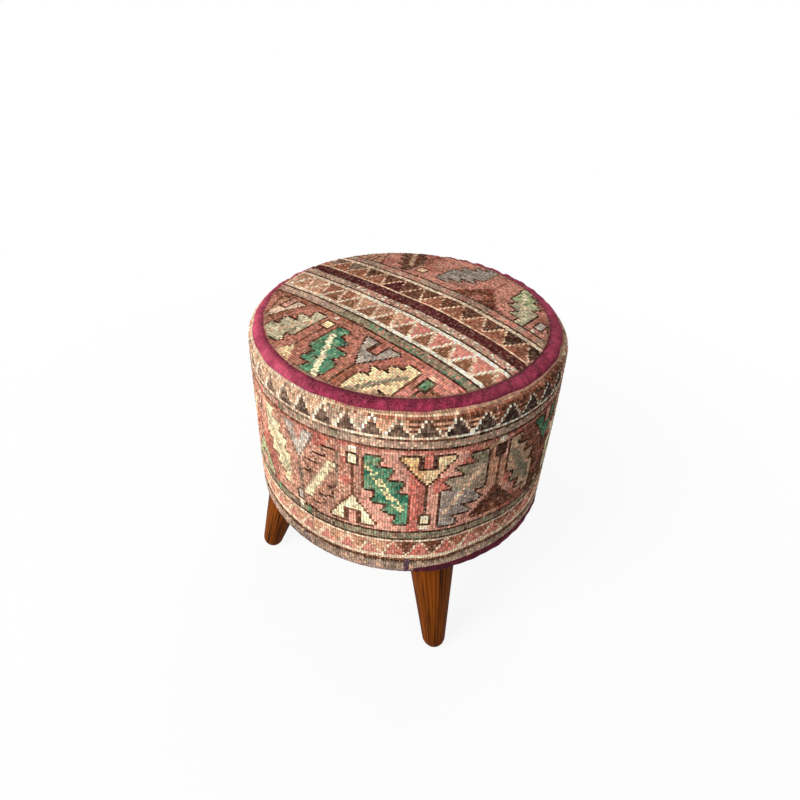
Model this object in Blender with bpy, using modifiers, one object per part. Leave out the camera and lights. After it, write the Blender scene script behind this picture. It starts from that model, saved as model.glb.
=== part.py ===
"""Carpet pouf: a knotted carpet cover over a padded, boarded drum on four splayed legs.

Metres, +Z up. The origin is on the floor, on the drum's axis. The legs stand on the
diagonals, and the posts of the drum's frame stand between them.
"""
import math

import bpy

MM = 0.001

# Clearance between pieces that touch
GAP = 0.3 * MM

# Overall form
OUTER_RADIUS = 200 * MM
LEG_HEIGHT = 151 * MM
SIDE_HEIGHT = 235 * MM

# Cover: the side carpet is rounded over the rim, the top carpet is a crowned disc, and a
# gathered binding slopes between the two
CARPET_T = 6 * MM
CARPET_EDGE = 1.5 * MM
RIM_ROUND = 8 * MM
RIM_BELOW = 6 * MM
LIP_SLOPE = math.radians(25)
LIP_INSET = 12 * MM
BINDING_WIDTH = 7.4 * MM
BINDING_RISE = 7.2 * MM
BINDING_BULGE = 0.8 * MM
BINDING_SINK = 0.8 * MM
BINDING_T = 5 * MM
GATHERS = 24
GATHER_DEPTH = 1.2 * MM
CROWN_RISE = 6 * MM
CROWN_POWER = 3.0

# Underside: the lower binding is turned under the drum, and a dust cover closes the middle
UNDER_CLOTH_T = 1.5 * MM
HEM_HEIGHT = 4 * MM
HEM_ROUND = 3 * MM
UNDER_FLANGE = 30 * MM

# Padding
WADDING_T = 6 * MM
FOAM_EDGE_T = 30 * MM

# Frame of the drum
WALL_T = 3.2 * MM
WALL_JOINT = 1 * MM
BASE_T = 18 * MM
TOP_T = 15 * MM
POST_COUNT = 4
POST_WIDTH = 30 * MM
POST_ARRIS = 1.5 * MM

# Legs
LEG_COUNT = 4
FIRST_LEG_ANGLE = math.radians(45)
LEG_INSET = 43 * MM
LEG_SPLAY = math.radians(16.4)
LEG_TOP_RADIUS = 32 * MM
LEG_FOOT_RADIUS = 15.2 * MM
FOOT_FLAT_DEPTH = 1.8 * MM

# Leg fastenings: a hanger bolt in each leg and a tee nut in the base board
BOLT_RADIUS = 4 * MM
BOLT_IN_LEG = 30 * MM
BOLT_PAST_NUT = 3 * MM
BOLT_POINT = 6 * MM
BOLT_CHAMFER = 1 * MM
NUT_WALL = 1.3 * MM
NUT_BARREL = 11 * MM
NUT_FLANGE_RADIUS = 11 * MM
NUT_FLANGE_T = 1.5 * MM

# Countersunk screws that hold the posts between the boards
SCREW_SHANK_RADIUS = 2.2 * MM
SCREW_HEAD_RADIUS = 4.4 * MM
SCREW_HEAD_HEIGHT = 2.6 * MM
SCREW_IN_POST = 30 * MM
SCREW_POINT = 6 * MM

# Facets
ROUND_STEPS = 64
GATHER_STEPS = 4
LEG_STEPS = 32
FASTENER_STEPS = 16
CROWN_STEPS = 8
BINDING_STEPS = 4
RIM_STEPS = 3
ROUND_PROFILE_STEPS = 4
FOOT_PROFILE_STEPS = 6
SHARP_ANGLE = math.radians(40)
MERGE = 0.01 * MM

# Levels, from the floor up
UNDERSIDE_Z = LEG_HEIGHT + GAP
BASE_Z = UNDERSIDE_Z + UNDER_CLOTH_T + GAP
BASE_TOP_Z = BASE_Z + BASE_T
RIM_Z = UNDERSIDE_Z + SIDE_HEIGHT
CARPET_LOW_Z = UNDERSIDE_Z + HEM_HEIGHT + GAP
TOP_BOARD_TOP_Z = RIM_Z - FOAM_EDGE_T
TOP_BOARD_Z = TOP_BOARD_TOP_Z - TOP_T
ROUND_Z = RIM_Z - RIM_BELOW

# Radii of the layers, from the outside in
LIP_RADIUS = OUTER_RADIUS - LIP_INSET
SEAM_RADIUS = LIP_RADIUS - BINDING_WIDTH
CARPET_INNER = OUTER_RADIUS - CARPET_T
WADDING_OUTER = CARPET_INNER - GAP
WALL_OUTER = WADDING_OUTER - WADDING_T - GAP
WALL_INNER = WALL_OUTER - WALL_T
BOARD_RADIUS = WALL_INNER - GAP
FLANGE_INNER = OUTER_RADIUS - UNDER_FLANGE
LEG_PITCH = OUTER_RADIUS - LEG_INSET
POST_PITCH = math.sqrt(BOARD_RADIUS ** 2 - (POST_WIDTH / 2) ** 2) - POST_WIDTH / 2

LEG_ANGLES = [FIRST_LEG_ANGLE + math.tau * i / LEG_COUNT for i in range(LEG_COUNT)]
POST_ANGLES = [FIRST_LEG_ANGLE + math.pi / LEG_COUNT + math.tau * i / POST_COUNT
               for i in range(POST_COUNT)]


def clear_scene():
    for obj in list(bpy.data.objects):
        bpy.data.objects.remove(obj, do_unlink=True)


def new_collection(name):
    collection = bpy.data.collections.new(name)
    bpy.context.scene.collection.children.link(collection)
    return collection


def finish(name, colour, roughness, metallic=0.0):
    material = bpy.data.materials.new(name)
    material.use_nodes = True
    shader = material.node_tree.nodes["Principled BSDF"]
    shader.inputs["Base Color"].default_value = (*colour, 1.0)
    shader.inputs["Roughness"].default_value = roughness
    shader.inputs["Metallic"].default_value = metallic
    return material


def on_circle(radius, angle, z):
    return (radius * math.cos(angle), radius * math.sin(angle), z)


def settle(obj):
    """Replace an object's mesh by its evaluated one, shaded smooth between sharp edges."""
    graph = bpy.context.evaluated_depsgraph_get()
    mesh = bpy.data.meshes.new_from_object(obj.evaluated_get(graph))
    obj.modifiers.clear()
    obj.data = mesh
    mesh.shade_smooth()
    mesh.set_sharp_from_angle(angle=SHARP_ANGLE)


def turned(name, profile, collection, material=None, steps=ROUND_STEPS, ring=False):
    """Turn a profile of (radius, height) points about Z, outer side first, going down."""
    edges = [(i, i + 1) for i in range(len(profile) - 1)]
    if ring:
        edges.append((len(profile) - 1, 0))
    mesh = bpy.data.meshes.new(name)
    mesh.from_pydata([(r, 0, z) for r, z in profile], edges, [])
    if material:
        mesh.materials.append(material)
    obj = bpy.data.objects.new(name, mesh)
    collection.objects.link(obj)
    screw = obj.modifiers.new("turn", "SCREW")
    screw.axis = "Z"
    screw.angle = math.tau
    screw.steps = steps
    screw.render_steps = steps
    screw.use_merge_vertices = True
    screw.merge_threshold = MERGE
    settle(obj)
    return obj


def box(name, size, collection, material=None):
    bpy.ops.mesh.primitive_cube_add(size=1)
    obj = bpy.context.object
    obj.name = name
    obj.data.transform([[size[0], 0, 0, 0], [0, size[1], 0, 0], [0, 0, size[2], 0], [0, 0, 0, 1]])
    for owner in list(obj.users_collection):
        owner.objects.unlink(obj)
    collection.objects.link(obj)
    if material:
        obj.data.materials.append(material)
    return obj


def as_cutter(obj):
    obj.hide_render = True
    obj.display_type = "WIRE"
    return obj


def combine(obj, tool, operation="DIFFERENCE"):
    boolean = obj.modifiers.new(tool.name, "BOOLEAN")
    boolean.operation = operation
    boolean.object = tool
    boolean.solver = "EXACT"


def rim_profile(inset, end_radius):
    """Points from a sloping lip, down over the rounded rim, to the upright side."""
    centre = OUTER_RADIUS - RIM_ROUND
    bend = RIM_ROUND - inset
    points = []
    for i in range(RIM_STEPS + 1):
        turn = (math.pi / 2 - LIP_SLOPE) * (1 - i / RIM_STEPS)
        points.append((centre + bend * math.cos(turn), ROUND_Z + bend * math.sin(turn)))
    radius, height = points[0]
    return [(end_radius, height + (radius - end_radius) * math.tan(LIP_SLOPE))] + points


def binding_top(radius):
    """Height of the binding's upper side, from the seam out to the carpet's lip."""
    across = (radius - SEAM_RADIUS) / BINDING_WIDTH
    return SEAM_Z - (SEAM_Z - LIP_Z + BINDING_SINK) * across + BINDING_BULGE * math.sin(math.pi * across)


def top_surface(radius):
    """Height of the crowned carpet disc's upper side."""
    return SEAM_Z + CROWN_RISE * (1 - (radius / SEAM_RADIUS) ** CROWN_POWER)


LIP_Z = rim_profile(0, LIP_RADIUS)[0][1]
SEAM_Z = LIP_Z + BINDING_RISE


def make_leg(number, angle, slab, parts, cutters, wood):
    """Turned tapered leg with a round foot, trimmed level at the drum and at the floor."""
    foot_z = LEG_FOOT_RADIUS - FOOT_FLAT_DEPTH
    length = (LEG_HEIGHT - foot_z) / math.cos(LEG_SPLAY)
    above = LEG_TOP_RADIUS * math.tan(LEG_SPLAY) * 2
    taper = (LEG_TOP_RADIUS - LEG_FOOT_RADIUS) / length
    profile = [(0, above), (LEG_TOP_RADIUS + taper * above, above)]
    for i in range(FOOT_PROFILE_STEPS + 1):
        turn = math.pi / 2 * i / FOOT_PROFILE_STEPS
        profile.append((LEG_FOOT_RADIUS * math.cos(turn), -length - LEG_FOOT_RADIUS * math.sin(turn)))
    profile[-1] = (0, profile[-1][1])
    leg = turned(f"leg_{number}", profile, parts, wood, LEG_STEPS)
    leg.location = on_circle(LEG_PITCH, angle, LEG_HEIGHT)
    leg.rotation_euler = (0, -LEG_SPLAY, angle)
    combine(leg, slab, "INTERSECT")
    socket = as_cutter(turned(f"leg_socket_{number}", bolt_profile(GAP), cutters, None, FASTENER_STEPS))
    socket.location = on_circle(LEG_PITCH, angle, 0)
    combine(leg, socket)
    return leg


def bolt_profile(clearance):
    """Hanger bolt from its point in the leg to its end past the tee nut."""
    radius = BOLT_RADIUS + clearance
    low = LEG_HEIGHT - BOLT_IN_LEG - clearance
    high = BASE_TOP_Z + GAP + NUT_FLANGE_T + BOLT_PAST_NUT
    return [(0, high), (radius - BOLT_CHAMFER, high), (radius, high - BOLT_CHAMFER),
            (radius, low + BOLT_POINT), (0, low)]


def make_bolt(number, angle, parts, steel):
    bolt = turned(f"leg_bolt_{number}", bolt_profile(0), parts, steel, FASTENER_STEPS)
    bolt.location = on_circle(LEG_PITCH, angle, 0)
    return bolt


def make_tee_nut(number, angle, parts, steel):
    bore = BOLT_RADIUS + GAP
    barrel = bore + NUT_WALL
    seat = BASE_TOP_Z + GAP
    low = seat - NUT_BARREL
    profile = [(bore, seat + NUT_FLANGE_T), (NUT_FLANGE_RADIUS, seat + NUT_FLANGE_T),
               (NUT_FLANGE_RADIUS, seat), (barrel, seat), (barrel, low), (bore, low)]
    nut = turned(f"tee_nut_{number}", profile, parts, steel, FASTENER_STEPS, ring=True)
    nut.location = on_circle(LEG_PITCH, angle, 0)
    return nut


def screw_profile(board_t, clearance):
    """Countersunk screw, head up at height 0, through a board and into a post."""
    shank = SCREW_SHANK_RADIUS + clearance
    tip = -board_t - GAP - SCREW_IN_POST - clearance
    return [(0, clearance), (SCREW_HEAD_RADIUS + clearance, clearance),
            (shank, -SCREW_HEAD_HEIGHT - clearance), (shank, tip + SCREW_POINT), (0, tip)]


def make_screw(name, board_t, clearance, post_angle, head_z, head_up, collection, material=None):
    screw = turned(name, screw_profile(board_t, clearance), collection, material, FASTENER_STEPS)
    screw.location = on_circle(POST_PITCH, post_angle, head_z)
    if not head_up:
        screw.rotation_euler = (math.pi, 0, 0)
    return screw


def make_post(number, angle, parts, wood):
    low = BASE_TOP_Z + GAP
    high = TOP_BOARD_Z - GAP
    post = box(f"frame_post_{number}", (POST_WIDTH, POST_WIDTH, high - low), parts, wood)
    post.location = on_circle(POST_PITCH, angle, (low + high) / 2)
    post.rotation_euler = (0, 0, angle)
    arris = post.modifiers.new("arris", "BEVEL")
    arris.width = POST_ARRIS
    arris.segments = 1
    return post


def disc(name, radius, low, high, parts, material):
    profile = [(0, high), (radius, high), (radius, low), (0, low)]
    return turned(name, profile, parts, material)


def make_frame(parts, cutters, ply, pine, steel):
    """Base board, top board and posts, with the screws and tee nuts that hold them."""
    base = disc("base_board", BOARD_RADIUS, BASE_Z, BASE_TOP_Z, parts, ply)
    top = disc("top_board", BOARD_RADIUS, TOP_BOARD_Z, TOP_BOARD_TOP_Z, parts, ply)
    nut_hole = BOLT_RADIUS + GAP + NUT_WALL + GAP
    hole_profile = [(0, BASE_TOP_Z + BASE_T), (nut_hole, BASE_TOP_Z + BASE_T),
                    (nut_hole, BASE_Z - BASE_T), (0, BASE_Z - BASE_T)]
    for number, angle in enumerate(LEG_ANGLES, 1):
        hole = as_cutter(turned(f"nut_hole_{number}", hole_profile, cutters, None, FASTENER_STEPS))
        hole.location = on_circle(LEG_PITCH, angle, 0)
        combine(base, hole)
        make_tee_nut(number, angle, parts, steel)
    for number, angle in enumerate(POST_ANGLES, 1):
        post = make_post(number, angle, parts, pine)
        for side, board, board_t, head_z, head_up in (
                ("bottom", base, BASE_T, BASE_Z, False),
                ("top", top, TOP_T, TOP_BOARD_TOP_Z, True)):
            make_screw(f"post_screw_{side}_{number}", board_t, 0, angle, head_z, head_up, parts, steel)
            pilot = as_cutter(make_screw(f"pilot_{side}_{number}", board_t, GAP, angle, head_z, head_up,
                                         cutters))
            combine(board, pilot)
            combine(post, pilot)


def make_wall(parts, cutters, hardboard):
    """Bent hardboard round the boards, its butt joint on the middle of a post."""
    profile = [(WALL_INNER, TOP_BOARD_TOP_Z), (WALL_OUTER, TOP_BOARD_TOP_Z),
               (WALL_OUTER, BASE_Z), (WALL_INNER, BASE_Z)]
    wall = turned("wall_panel", profile, parts, hardboard, ring=True)
    joint = as_cutter(box("wall_joint", (POST_WIDTH, WALL_JOINT, SIDE_HEIGHT * 2), cutters))
    joint.location = on_circle(WALL_OUTER, POST_ANGLES[0], RIM_Z - SIDE_HEIGHT / 2)
    joint.rotation_euler = (0, 0, POST_ANGLES[0])
    combine(wall, joint)


def make_padding(parts, wadding, foam):
    profile = rim_profile(CARPET_T + GAP, WALL_OUTER + GAP)
    profile += [(WADDING_OUTER, BASE_Z), (WALL_OUTER + GAP, BASE_Z)]
    turned("side_wadding", profile, parts, wadding, ring=True)
    low = TOP_BOARD_TOP_Z + GAP
    under_binding = binding_top(LIP_RADIUS) - BINDING_T - GAP
    shoulder = rim_profile(CARPET_T + GAP, WALL_OUTER)[0]
    radii = [SEAM_RADIUS * i / CROWN_STEPS for i in range(CROWN_STEPS + 1)]
    profile = [(r, top_surface(r) - CARPET_T - GAP) for r in radii]
    profile += [(WALL_OUTER, min(under_binding, shoulder[1])), (WALL_OUTER, low), (0, low)]
    turned("seat_foam", profile, parts, foam)


def make_top_carpet(parts, carpet):
    edge = SEAM_RADIUS - GAP / 2
    radii = [edge * i / CROWN_STEPS for i in range(CROWN_STEPS + 1)]
    upper = [(r, top_surface(r)) for r in radii]
    lower = [(r, z - CARPET_T) for r, z in reversed(upper)]
    turned("top_carpet", upper + lower, parts, carpet)


def make_side_carpet(parts, carpet):
    """Carpet strip round the drum, its upper edge laid over the rim as a sloping lip."""
    low = CARPET_LOW_Z
    outer = rim_profile(0, LIP_RADIUS)
    inner = rim_profile(CARPET_T, LIP_RADIUS)
    profile = outer + [(OUTER_RADIUS, low + CARPET_EDGE), (OUTER_RADIUS - CARPET_EDGE, low),
                       (CARPET_INNER, low)] + inner[::-1]
    turned("side_carpet", profile, parts, carpet, ring=True)


def make_top_binding(parts, cloth):
    """Cloth ring between the top carpet and the lip, drawn in by the gathers of its seams."""
    first = SEAM_RADIUS + GAP / 2
    last = LIP_RADIUS - GAP
    radii = [first + (last - first) * i / BINDING_STEPS for i in range(BINDING_STEPS + 1)]
    upper = [(r, binding_top(r)) for r in radii]
    lower = [(r, z - BINDING_T) for r, z in reversed(upper)]
    binding = turned("top_binding", upper + lower, parts, cloth, GATHERS * GATHER_STEPS, ring=True)
    for vertex in binding.data.vertices:
        x, y, z = vertex.co
        radius = math.hypot(x, y)
        if z > binding_top(radius) - BINDING_T / 2:
            across = (radius - SEAM_RADIUS) / BINDING_WIDTH
            pull = 0.5 - 0.5 * math.cos(GATHERS * math.atan2(y, x))
            vertex.co.z -= GATHER_DEPTH * pull * math.sin(math.pi * across)


def make_bottom_binding(parts, cloth):
    """Hem below the carpet, rounded over and turned in under the drum."""
    flat_z = UNDERSIDE_Z + UNDER_CLOTH_T
    profile = [(CARPET_INNER, UNDERSIDE_Z + HEM_HEIGHT), (OUTER_RADIUS, UNDERSIDE_Z + HEM_HEIGHT)]
    for i in range(ROUND_PROFILE_STEPS + 1):
        turn = math.pi / 2 * i / ROUND_PROFILE_STEPS
        profile.append((OUTER_RADIUS - HEM_ROUND * (1 - math.cos(turn)),
                        UNDERSIDE_Z + HEM_ROUND * (1 - math.sin(turn))))
    profile += [(FLANGE_INNER, UNDERSIDE_Z), (FLANGE_INNER, flat_z), (CARPET_INNER, flat_z)]
    turned("bottom_binding", profile, parts, cloth, ring=True)


def make_dust_cover(parts, cutters, cloth):
    cover = disc("dust_cover", FLANGE_INNER - GAP, UNDERSIDE_Z, UNDERSIDE_Z + UNDER_CLOTH_T, parts, cloth)
    for number, angle in enumerate(LEG_ANGLES, 1):
        hole = as_cutter(turned(f"cover_hole_{number}", bolt_profile(GAP), cutters, None, FASTENER_STEPS))
        hole.location = on_circle(LEG_PITCH, angle, 0)
        combine(cover, hole)


def build():
    clear_scene()
    parts = new_collection("carpet_pouf")
    cutters = new_collection("cutters")
    leg_wood = finish("stained_leg_wood", (0.19, 0.055, 0.010), 0.42)
    ply = finish("birch_plywood", (0.60, 0.42, 0.24), 0.70)
    pine = finish("pine", (0.70, 0.50, 0.26), 0.70)
    steel = finish("zinc_plated_steel", (0.62, 0.62, 0.60), 0.35, 1.0)
    hardboard = finish("hardboard", (0.22, 0.12, 0.06), 0.60)
    wadding = finish("polyester_wadding", (0.85, 0.85, 0.83), 1.0)
    foam = finish("seat_foam", (0.85, 0.72, 0.35), 0.95)
    carpet = finish("knotted_wool_carpet", (0.52, 0.19, 0.14), 0.95)
    binding = finish("magenta_wool_binding", (0.24, 0.022, 0.070), 0.90)
    dust_cloth = finish("black_dust_cloth", (0.02, 0.02, 0.02), 0.90)

    make_frame(parts, cutters, ply, pine, steel)
    make_wall(parts, cutters, hardboard)
    make_padding(parts, wadding, foam)
    make_top_carpet(parts, carpet)
    make_top_binding(parts, binding)
    make_side_carpet(parts, carpet)
    make_bottom_binding(parts, binding)
    make_dust_cover(parts, cutters, dust_cloth)

    reach = OUTER_RADIUS * 4
    slab = as_cutter(box("leg_slab", (reach, reach, LEG_HEIGHT), cutters))
    slab.location = (0, 0, LEG_HEIGHT / 2)
    for number, angle in enumerate(LEG_ANGLES, 1):
        make_leg(number, angle, slab, parts, cutters, leg_wood)
        make_bolt(number, angle, parts, steel)

    root = bpy.data.objects.new("carpet_pouf_root", None)
    parts.objects.link(root)
    for obj in list(parts.objects):
        if obj is not root:
            obj.parent = root


build()
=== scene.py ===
"""Looks of the carpet pouf: a padded drum covered in pieces of an old knotted carpet, bound in
gathered cloth, on four stained wooden legs.

Metres, +Z up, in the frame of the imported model. Places on the carpet are counted in knots.
"""
import math

import bpy
import numpy as np
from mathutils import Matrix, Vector


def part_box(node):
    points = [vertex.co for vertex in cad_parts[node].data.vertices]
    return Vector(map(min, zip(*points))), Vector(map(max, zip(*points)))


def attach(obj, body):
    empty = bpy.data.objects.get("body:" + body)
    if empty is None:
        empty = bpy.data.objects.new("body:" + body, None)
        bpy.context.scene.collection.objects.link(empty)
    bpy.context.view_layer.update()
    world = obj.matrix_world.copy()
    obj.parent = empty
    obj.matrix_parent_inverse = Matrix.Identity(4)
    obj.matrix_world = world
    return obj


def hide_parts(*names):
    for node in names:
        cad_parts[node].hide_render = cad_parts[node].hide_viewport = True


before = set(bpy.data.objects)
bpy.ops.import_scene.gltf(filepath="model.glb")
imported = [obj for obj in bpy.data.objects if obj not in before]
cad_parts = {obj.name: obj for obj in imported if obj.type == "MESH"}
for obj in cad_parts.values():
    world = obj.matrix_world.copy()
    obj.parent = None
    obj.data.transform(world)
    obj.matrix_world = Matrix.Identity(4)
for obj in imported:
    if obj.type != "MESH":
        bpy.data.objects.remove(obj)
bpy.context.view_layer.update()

MM = 0.001
rng = np.random.default_rng(11)

# Sizes read from the frame
OUTER_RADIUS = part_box("side_carpet")[1].x
CARPET_LOW_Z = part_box("side_carpet")[0].z
LIP_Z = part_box("side_carpet")[1].z
SEAM_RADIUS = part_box("top_carpet")[1].x
TOP_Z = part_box("top_carpet")[1].z
UNDERSIDE_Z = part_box("bottom_binding")[0].z
HEM_TOP_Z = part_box("bottom_binding")[1].z
COVER_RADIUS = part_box("dust_cover")[1].x
LEG_TOP_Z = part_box("leg_1")[1].z
FOAM_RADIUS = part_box("seat_foam")[1].x
FOAM_LOW_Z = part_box("seat_foam")[0].z
WADDING_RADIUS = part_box("side_wadding")[1].x
WADDING_LOW_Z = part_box("side_wadding")[0].z

# Rim of the drum, as the solids have it: a sloped lip, then a round, then the straight side
RIM_ROUND = 8 * MM
LIP_SLOPE = math.radians(25)
LIP_INSET = 12 * MM
LIP_RADIUS = OUTER_RADIUS - LIP_INSET
RIM_BEND = math.pi / 2 - LIP_SLOPE
RIM_CENTRE_R = OUTER_RADIUS - RIM_ROUND
LIP_LENGTH = (RIM_CENTRE_R + RIM_ROUND * math.cos(RIM_BEND) - LIP_RADIUS) / math.cos(LIP_SLOPE)
RIM_CENTRE_Z = LIP_Z - LIP_LENGTH * math.sin(LIP_SLOPE) - RIM_ROUND * math.sin(RIM_BEND)
RIM_LENGTH = LIP_LENGTH + RIM_ROUND * RIM_BEND

# Crown and thickness of the carpets, as the solids have them
CROWN_RISE = 6 * MM
CARPET_T = 5 * MM
SEAM_Z = TOP_Z - CROWN_RISE

# Legs, as the solids have them
LEG_PITCH = 157 * MM
LEG_SPLAY = math.radians(16.4)
LEG_ANGLES = [math.radians(45 + 90 * i) for i in range(4)]

# Angle on the drum of the photograph's right, and the angle that faces the photograph
VIEW_AZIMUTH = math.radians(28.3)
FRONT = VIEW_AZIMUTH - math.pi / 2

# Knots of the carpet, about 3 mm each way
SIDE_COLS = 420
SIDE_ROWS = 81
TOP_KNOTS = 124
KNOT = math.tau * OUTER_RADIUS / SIDE_COLS
TOP_STRIPE_ANGLE = VIEW_AZIMUTH - math.radians(39.6)

# Wools of the carpet: display colour out of 255, and the wools that turn up among its knots with the
# share of each
WOOLS = {
    "coral": ((218, 158, 140), {"rose": 0.08, "tan": 0.12, "selvedge": 0.08}),
    "rose": ((198, 112, 98), {"coral": 0.18, "rust": 0.10}),
    "clay": ((208, 156, 132), {"brown": 0.20, "rust": 0.20, "coral": 0.14}),
    "faded": ((204, 140, 122), {"brick": 0.14, "tan": 0.12}),
    "blush": ((200, 146, 126), {"rust": 0.16, "tan": 0.14, "selvedge": 0.10}),
    "brick": ((184, 112, 96), {"faded": 0.16, "brown": 0.10}),
    "russet": ((178, 116, 98), {"brick": 0.18, "tan": 0.12, "brown": 0.06}),
    "umber": ((66, 40, 30), {"brown": 0.30, "taupe": 0.14}),
    "green": ((86, 142, 110), {"moss": 0.10, "fern": 0.16, "umber": 0.06}),
    "teal": ((52, 108, 86), {}),
    "fern": ((112, 146, 108), {"moss": 0.20, "green": 0.16}),
    "cream": ((246, 230, 190), {"selvedge": 0.14}),
    "ivory": ((250, 234, 210), {}),
    "bone": ((240, 210, 182), {}),
    "yellow": ((250, 212, 166), {"selvedge": 0.16, "tan": 0.08}),
    "straw": ((232, 216, 164), {}),
    "oat": ((234, 216, 176), {}),
    "amber": ((236, 186, 130), {"yellow": 0.20, "tan": 0.16}),
    "grey": ((180, 158, 136), {"moss": 0.20, "taupe": 0.18}),
    "blue_grey": ((196, 180, 170), {"ivory": 0.14, "taupe": 0.20}),
    "slate": ((174, 162, 149), {"taupe": 0.18, "blue_grey": 0.16}),
    "pewter": ((162, 148, 138), {"taupe": 0.18, "blue_grey": 0.16}),
    "moss": ((150, 138, 112), {"fern": 0.14, "taupe": 0.20, "dusty": 0.14}),
    "sage": ((196, 184, 154), {"cream": 0.12, "moss": 0.16}),
    "pale_green": ((178, 182, 140), {"green": 0.10, "cream": 0.12}),
    "brown": ((106, 64, 48), {"umber": 0.20, "rust": 0.18}),
    "cocoa": ((138, 92, 66), {"brown": 0.20, "tan": 0.15}),
    "charcoal": ((70, 54, 50), {"umber": 0.30, "taupe": 0.12}),
    "taupe": ((134, 110, 94), {"umber": 0.16, "sand": 0.14}),
    "soot": ((106, 84, 72), {"umber": 0.16, "taupe": 0.16}),
    "sand": ((212, 174, 144), {"tan": 0.20, "selvedge": 0.14}),
    "tan": ((204, 152, 122), {"rust": 0.14, "sand": 0.16}),
    "rust": ((160, 98, 76), {"brown": 0.18, "tan": 0.16}),
    "pink": ((210, 136, 122), {"rose": 0.14, "tan": 0.14}),
    "dusty": ((192, 160, 140), {"moss": 0.14, "pink": 0.08, "taupe": 0.16, "selvedge": 0.10}),
    "ash": ((172, 146, 126), {"moss": 0.14, "pink": 0.08, "taupe": 0.18, "selvedge": 0.12}),
    "mahogany": ((122, 62, 46), {"rust": 0.20, "umber": 0.10}),
    "lilac": ((158, 132, 128), {"dusty": 0.20, "plum": 0.12}),
    "maroon": ((88, 36, 38), {"umber": 0.12}),
    "selvedge": ((232, 194, 162), {}),
    "plum": ((96, 74, 84), {}),
}
WOOL_NUMBERS = {name: i for i, name in enumerate(WOOLS)}


def linear(colour):
    """Display colour out of 255 as linear light."""
    c = np.asarray(colour, float) / 255
    return np.where(c <= 0.04045, c / 12.92, ((c + 0.055) / 1.055) ** 2.4)


def wool_light(name):
    """Linear colour of a wool."""
    return linear(WOOLS[name][0])


def smooth_step(x, low, high):
    t = np.clip((x - low) / (high - low), 0, 1)
    return t * t * (3 - 2 * t)


def hump(x, low, full, ease, high):
    """One between two soft edges, and nought outside them."""
    return smooth_step(x, low, full) * (1 - smooth_step(x, ease, high))


def wrapped(angle):
    """The same angle within half a turn of nought."""
    return (angle + math.pi) % math.tau - math.pi


def near(angle, at, width):
    """One at so many degrees from the photograph's right, falling off over a width in degrees."""
    return np.exp(-(wrapped(angle - VIEW_AZIMUTH - math.radians(at)) / math.radians(width)) ** 2)


def waves(table, angle, t=0.0):
    """Sum of waves round the drum: each has a height, a count, a slant along t and a start."""
    return sum(height * np.sin(count * angle + slant * t + start) for height, count, slant, start in table)


def turned(radius, angle, z):
    """Points from radii, angles and heights."""
    return np.stack(np.broadcast_arrays(radius * np.cos(angle), radius * np.sin(angle), z), -1)


# Pattern of the carpet


class Weave:
    """A grid of knots, each with the number of its wool; u and row count them from the origin."""

    def __init__(self, rows, cols, first_row, ground, wraps, seed):
        self.wool = np.full((rows, cols), WOOL_NUMBERS[ground])
        self.u, self.row = np.meshgrid(np.arange(cols) + 0.5 - cols / 2, np.arange(rows) + 0.5 + first_row)
        # Painted light and shade: a factor on each knot's colour
        self.fade = np.ones((rows, cols))
        self.wraps = wraps
        self.rng = np.random.default_rng(seed)
        self.mottle = self.soft_noise(6)

    def chance(self):
        """An even random number for each knot."""
        return self.rng.uniform(size=self.wool.shape)

    def spread(self):
        """A random number of unit spread for each knot."""
        return self.rng.standard_normal(self.wool.shape)

    def soft_noise(self, cell, cell_high=None):
        """Smooth random field of about unit spread, with features a few cells wide."""
        rows, cols = self.wool.shape
        high = max(2, round(rows / (cell_high or cell)) + 1)
        wide = max(2, round(cols / cell))
        coarse = self.rng.standard_normal((high, wide + 1))
        if self.wraps:
            coarse[:, -1] = coarse[:, 0]
        y = np.linspace(0, high - 1.001, rows)
        x = np.linspace(0, wide - 0.001, cols)
        iy, ix = y.astype(int), x.astype(int)
        fy, fx = smooth_step(y - iy, 0, 1)[:, None], smooth_step(x - ix, 0, 1)[None]
        upper = coarse[iy][:, ix] * (1 - fx) + coarse[iy][:, ix + 1] * fx
        lower = coarse[iy + 1][:, ix] * (1 - fx) + coarse[iy + 1][:, ix + 1] * fx
        return upper * (1 - fy) + lower * fy

    def area(self, left=-math.inf, right=math.inf, first=-math.inf, last=math.inf):
        """The knots between two columns and two rows."""
        return (self.u > left) & (self.u < right) & (self.row > first) & (self.row < last)

    def band(self, first, last):
        return self.area(first=first, last=last)

    def across(self, place):
        """Columns from a place to each knot, the shorter way round."""
        off = self.u - place
        cols = self.wool.shape[1]
        return (off + cols / 2) % cols - cols / 2 if self.wraps else off

    def paint(self, mask, wool):
        self.wool[mask] = WOOL_NUMBERS[wool]

    def paint_band(self, band, wool, level):
        """Patches of another wool along a band, a few knots wide and as high as the band."""
        patches = self.soft_noise(3, cell_high=40)
        self.paint(self.band(*band) & (patches > level), wool)

    def strays(self):
        """Numbers of the wools after single knots are changed for others that turn up among them."""
        out = self.wool.copy()
        chance = self.chance()
        for name, (_, others) in WOOLS.items():
            start = 0.0
            for other, share in others.items():
                picked = (self.wool == WOOL_NUMBERS[name]) & (chance >= start) & (chance < start + share)
                out[picked] = WOOL_NUMBERS[other]
                start += share
        return out


def touching(mask, axis):
    """The knots that touch a mask: from above or below for axis 0, from the sides for axis 1."""
    return (np.roll(mask, 1, axis) | np.roll(mask, -1, axis)) & ~mask


def inside(x, y, outline):
    """True where a point lies in a closed outline, by counting crossings."""
    hit = np.zeros(x.shape, bool)
    for (x0, y0), (x1, y1) in zip(outline, outline[1:] + outline[:1]):
        if y0 == y1:
            continue
        crosses = (y0 > y) != (y1 > y)
        hit ^= crosses & (x < x0 + (y - y0) * (x1 - x0) / (y1 - y0))
    return hit


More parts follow.
